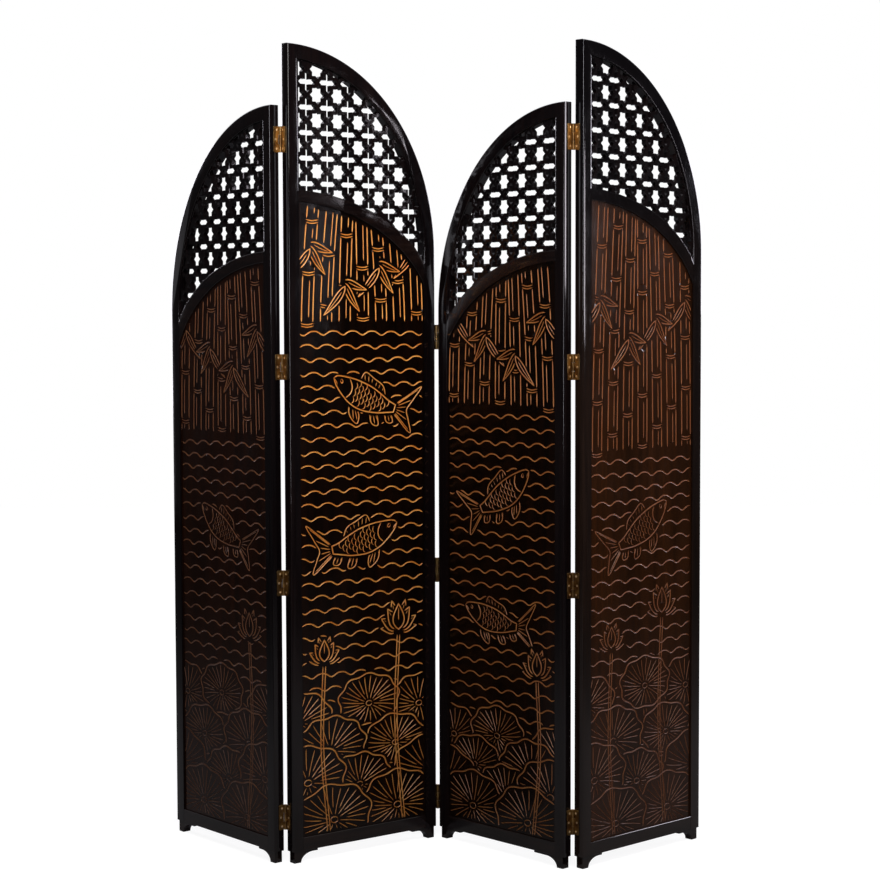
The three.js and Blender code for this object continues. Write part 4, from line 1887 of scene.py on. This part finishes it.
@dataclass(frozen=True)
class Studio:
    """The camera, lamps, floor and background, in metres and radians."""

    lamps: Sequence[Lamp]
    camera_place: Place = (0.01414, -5.37812, 1.40486)
    pitch: float = 0.065896
    roll: float = -0.00297
    focal: float = 87.02
    sensor: float = 36.0
    view_end: float = 60.0
    white: Colour = (1.0, 1.0, 1.0, 1.0)
    dim: Colour = (0.95, 0.93, 1.0, 1.0)
    dim_strength: float = 0.04
    backdrop_from: Span = (0.42, 0.62)
    backdrop_strength: float = 1.1
    floor_half: float = 9.0
    floor_level: float = -0.0005
    floor_colour: Colour = (0.2, 0.2, 0.2, 1.0)
    floor_fade: Span = (0.9, 3.0)
    floor_glow: Span = (0.88, 1.0)

    def camera(self) -> None:
        """Adds the camera of the photograph's view."""
        data = bpy.data.cameras.new("camera")
        data.lens = self.focal
        data.sensor_width = self.sensor
        data.sensor_fit = "HORIZONTAL"
        data.clip_end = self.view_end
        camera = bpy.data.objects.new("camera", data)
        turn = Matrix.Rotation(math.pi / 2 - self.pitch, 4, "X") @ Matrix.Rotation(self.roll, 4, "Z")
        camera.matrix_world = Matrix.Translation(self.camera_place) @ turn
        bpy.context.scene.collection.objects.link(camera)
        bpy.context.scene.camera = camera

    def world(self) -> None:
        """Makes the surroundings: dim for the object, white for the camera."""
        world = bpy.data.worlds.new("surroundings")
        sheet = NodeSheet.fresh(world)
        rays = sheet.add("ShaderNodeLightPath").outputs
        behind = sheet.axis(sheet.add("ShaderNodeTexCoord").outputs["Generated"], "Y")
        backdrop = sheet.ramp(behind, *self.backdrop_from, (0.0, self.backdrop_strength))
        mirrored = sheet.math("MULTIPLY", backdrop, rays["Is Glossy Ray"])
        strength = sheet.math("ADD", mirrored, self.dim_strength)
        dim = sheet.add("ShaderNodeBackground", self.dim, strength).outputs[0]
        white = sheet.add("ShaderNodeBackground", self.white, 1.0).outputs[0]
        mixed = sheet.add("ShaderNodeMixShader", rays["Is Camera Ray"], dim, white)
        sheet.add("ShaderNodeOutputWorld", mixed.outputs[0])
        bpy.context.scene.world = world

    def floor(self) -> None:
        """Lays the pale floor, which keeps the screen's shadow."""
        material = bpy.data.materials.new("pale floor")
        sheet = NodeSheet.fresh(material)
        rays = sheet.add("ShaderNodeLightPath").outputs
        place = sheet.add("ShaderNodeTexCoord").outputs["Object"]
        away = sheet.add("ShaderNodeVectorMath", place, settings={"operation": "LENGTH"}).outputs["Value"]
        glow = sheet.ramp(away, *self.floor_fade, self.floor_glow)
        seen = sheet.math("MULTIPLY", glow, rays["Is Camera Ray"])
        matt = sheet.add("ShaderNodeBsdfDiffuse", self.floor_colour).outputs[0]
        white = sheet.add("ShaderNodeEmission", self.white, seen).outputs[0]
        both = sheet.add("ShaderNodeAddShader", matt, white)
        sheet.add("ShaderNodeOutputMaterial", both.outputs[0])
        half = self.floor_half
        corners = [(-half, -half, 0.0), (half, -half, 0.0), (half, half, 0.0), (-half, half, 0.0)]
        mesh = bpy.data.meshes.new("floor")
        mesh.from_pydata(corners, [], [(0, 1, 2, 3)])
        mesh.materials.append(material)
        floor = bpy.data.objects.new("floor", mesh)
        floor.location.z = self.floor_level
        bpy.context.scene.collection.objects.link(floor)

    def build(self) -> None:
        """Builds the studio."""
        bpy.context.scene.view_settings.view_transform = "Standard"
        self.camera()
        self.world()
        self.floor()
        for lamp in self.lamps:
            lamp.build()


# The screen


@dataclass(frozen=True)
class PanelPlan:
    """One panel's layout and colours, each flower given by its place and size."""

    water_top: float
    pond_reach: float
    fish: tuple[Carp, ...]
    flowers: tuple[Place, ...]
    ground: tuple[Colour, Colour]
    line: tuple[Colour, Colour]


RIDGE_LEVELS = {"top": 1797.5, "upper": 1240.0, "lower": 704.0, "bottom": 115.0}
VALLEY_LEVELS = {"top": 1308.5, "middle": 704.5, "bottom": 108.0}
TALL = 2030.0
SHORT = 1881.0
# Painted reflection: leaf 4's frame gets a lighter, browner lacquer up to 1.2 m, fading to the plain
# colour by 1.7 m.
REFLECTION_PAINTED_LEAF = 4
LEVEL_WARM = (0.011, 0.0055, 0.0042, 1.0)
PAINTED_REFLECTION_LACQUER = ((0.0045, 0.0024, 0.0018, 1.0), (0.0135, 0.007, 0.0045, 1.0))
PAINTED_REFLECTION_TOP = 1.7
SCREW_COLOURS = ((0.95, 0.8, 0.55, 1.0), (0.8, 0.6, 0.34, 1.0))
DARK_GROUND = ((0.0012, 0.0005, 0.0003, 1.0), (0.007, 0.0022, 0.0008, 1.0))

# Painted light: the ground and line colours differ from leaf to leaf for how light falls and is reflected
# on each, so leaf 2 has the brightest lines, leaf 1 the dullest, and leaves 1 and 4 browner grounds.
PANELS = {
    1: PanelPlan(
        1050.0, 400.0, (Carp(218, 815, 235, 1, 24),), ((110, 560, 60),),
        ((0.0055, 0.0016, 0.0005, 1.0), (0.022, 0.0055, 0.0014, 1.0)),
        ((0.14, 0.048, 0.018, 1.0), (0.2, 0.082, 0.032, 1.0)),
    ),
    2: PanelPlan(
        1330.0, 380.0, (Carp(245, 1150, 250, -1, 20), Carp(205, 790, 255, 1, 12)),
        ((330, 560, 66), (100, 500, 54)), DARK_GROUND,
        ((0.6, 0.2, 0.024, 1.0), (0.74, 0.34, 0.07, 1.0)),
    ),
    3: PanelPlan(
        1120.0, 300.0, (Carp(222, 905, 245, -1, 28), Carp(238, 590, 230, 1, 8)),
        ((95, 470, 58),), DARK_GROUND,
        ((0.28, 0.09, 0.02, 1.0), (0.38, 0.15, 0.035, 1.0)),
    ),
    4: PanelPlan(
        1010.0, 430.0, (Carp(212, 820, 250, 1, 26),), ((300, 610, 64), (110, 540, 52)),
        ((0.0105, 0.0036, 0.0009, 1.0), (0.030, 0.0092, 0.0022, 1.0)),
        ((0.19, 0.055, 0.016, 1.0), (0.25, 0.085, 0.024, 1.0)),
    ),
}

STUDIO_LAMPS = [
    Lamp("high softbox", (0.3, -2.3, 3.7), (0.0, 0.0, 1.35), (2.6, 1.2), 140.0, (1.0, 0.97, 0.95)),
    Lamp("front strip", (-0.5, -4.6, 2.0), (0.0, 0.0, 1.4), (0.6, 1.3), 55.0, (0.93, 0.92, 1.0)),
    Lamp("back right strip", (2.2, 2.9, 1.35), (0.0, 0.0, 1.25), (0.9, 2.3), 24.0, (0.92, 0.9, 1.0)),
    Lamp("back left strip", (-2.2, 2.9, 1.35), (0.0, 0.0, 1.25), (0.9, 2.3), 24.0, (0.92, 0.9, 1.0)),
    Lamp("right strip", (2.58, -0.63, 1.8), (-0.37, -0.13, 1.65), (0.45, 0.7), 12.0, (0.95, 0.88, 0.96)),
    Lamp("right wing", (2.5, 1.2, 1.75), (0.34, -0.19, 1.7), (0.8, 0.8), 30.0, (0.92, 0.88, 1.0)),
    Lamp("left wing", (-1.96, 1.74, 1.7), (0.34, -0.19, 1.6), (0.4, 1.4), 22.0, (0.92, 0.88, 1.0)),
]


def leaf_plans(joints: dict[str, Vector]) -> list[LeafPlan]:
    """Lays out the four leaves.

    Args:
        joints: The place of each joint's pin.

    Returns:
        The leaves, from the left.
    """

    def edges(ridge: str, has_pin: bool, inner: bool) -> dict[Edge, HingedEdge]:
        """Returns a leaf's hinged edges; only an inner leaf has hinges on both."""
        found = {Edge.HIGH: HingedEdge(ridge, RIDGE_LEVELS, has_pin)}
        if inner:
            found[Edge.LOW] = HingedEdge("2_3", VALLEY_LEVELS, not has_pin)
        return found

    left, right = joints["joint_1_2"], joints["joint_3_4"]
    return [
        LeafPlan(1, SHORT, -50.0, True, left, FOOT_REACH, edges("1_2", True, False)),
        LeafPlan(2, TALL, 37.0, False, left, FOOT_REACH, edges("1_2", False, True)),
        LeafPlan(3, SHORT, -46.7, True, right, LONG_FOOT_REACH, edges("3_4", True, True)),
        LeafPlan(4, TALL, 43.3, False, right, FOOT_REACH, edges("3_4", False, False)),
    ]


@dataclass(frozen=True)
class Pond:
    """Lotus leaves at the foot of a panel, in rows that stand a little out of line."""

    left: float
    right: float
    low: float
    reach: float
    rows: int = 4
    foot_margin: float = 40.0
    head_margin: float = 110.0
    sway: Point = (16.0, 15.0)
    radius: float = 112.0
    radius_step: float = 6.0
    radius_sway: float = 8.0
    flat: float = 0.7
    least_waves: int = 8
    least_veins: int = 25

    def leaf(self, row: int, i: int) -> LotusLeaf:
        """Returns one leaf of a row, counted from the left."""
        share = (i + (0.0 if row % 2 else 0.5)) / 2
        rise = (self.reach - self.head_margin) * row / (self.rows - 1)
        x = self.left + (self.right - self.left) * share + self.sway[0] * math.sin(1.9 * row + 2.6 * i)
        z = self.low + self.foot_margin + rise + self.sway[1] * math.sin(2.3 * i + 1.7 * row)
        radius = self.radius - self.radius_step * row + self.radius_sway * math.sin(3.1 * i + row)
        waves = self.least_waves + (i + row) % 3
        return LotusLeaf(x, z, radius, self.flat, waves, self.least_veins + 2 * (i % 2), self.low)

    def leaves(self) -> list[LotusLeaf]:
        """Returns all the leaves, from the front to the back."""
        return [self.leaf(row, i) for row in range(self.rows) for i in range(2 + row % 2)]


def motifs(height: float, panel: PanelPlan, sizes: LeafSizes) -> list[Motif]:
    """Lays out one panel: bamboo over rippled water with carp and lotus.

    Args:
        height: The leaf's height.
        panel: The panel's layout.
        sizes: The leaf's sizes.

    Returns:
        The motifs, from the front to the back.
    """
    left, right = sizes.high_stile + FIELD_MARGIN, sizes.low - FIELD_MARGIN
    low = sizes.foot_height + sizes.bottom_rail + FIELD_MARGIN
    top = sizes.rail_foot(height, left)
    flowers = [Lotus(x, z, size, low) for x, z, size in panel.flowers]
    bamboo = Bamboo(left - 6, right + 10, panel.water_top + 14, top + 20)
    ripples = Ripples(low + 30, panel.water_top - 8, left, right)
    pond = Pond(left, right, low, panel.pond_reach)
    return [*flowers, *pond.leaves(), *panel.fish, bamboo, ripples]


def main() -> None:
    """Builds the screen and its studio."""
    logging.basicConfig(level=logging.INFO, format="%(name)s: %(message)s")
    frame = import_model()
    joints = {joint["name"]: Vector(joint["pos_m"]) for joint in frame["joints"]}
    sizes = LeafSizes()
    effects = Effects()
    black = [
        Lacquer("black lacquer, upright"),
        Lacquer("black lacquer, level", warm=LEVEL_WARM, grain=Grain.LEVEL),
    ]
    warm = [
        Lacquer(f"warm lacquer, {grain.name.lower()}", *PAINTED_REFLECTION_LACQUER, grain=grain, painted_reflection_top=PAINTED_REFLECTION_TOP)
        for grain in Grain
    ]
    woods, reflection_painted_woods = ({wood.grain: wood.build(effects) for wood in kind} for kind in (black, warm))
    brass = Brass("aged brass").build(effects)
    screw = Brass("screw brass", *SCREW_COLOURS, Gloss(0.3, 0.45, 60.0, metallic=1.0)).build(effects)
    for plan in leaf_plans(joints):
        panel = PANELS[plan.number]
        joiner = Joiner(plan, sizes)
        woodwork = Woodwork(plan, sizes)
        # Leaf 4's frame takes the lacquer with the painted reflection.
        woodwork.build(joiner, reflection_painted_woods if plan.number == REFLECTION_PAINTED_LEAF else woods)
        Fretwork(woodwork).build(joiner, woods[Grain.UPRIGHT])
        board = Lacquer(
            f"panel ground {plan.number}",
            *panel.ground,
            grain_scale=60.0,
            relief=0.2,
            gloss=Gloss(0.12, 0.22, specular=0.28),
        )
        line = CarvedLine(f"carved line {plan.number}", *panel.line)
        carving = CarvedPanel(woodwork, motifs(plan.height, panel, sizes))
        carving.build(joiner, board.build(effects), line.build(effects))
        ButtHinge(sizes).build(joiner, brass, screw)
    Studio(STUDIO_LAMPS).build()


if __name__ == "__main__":
    main()
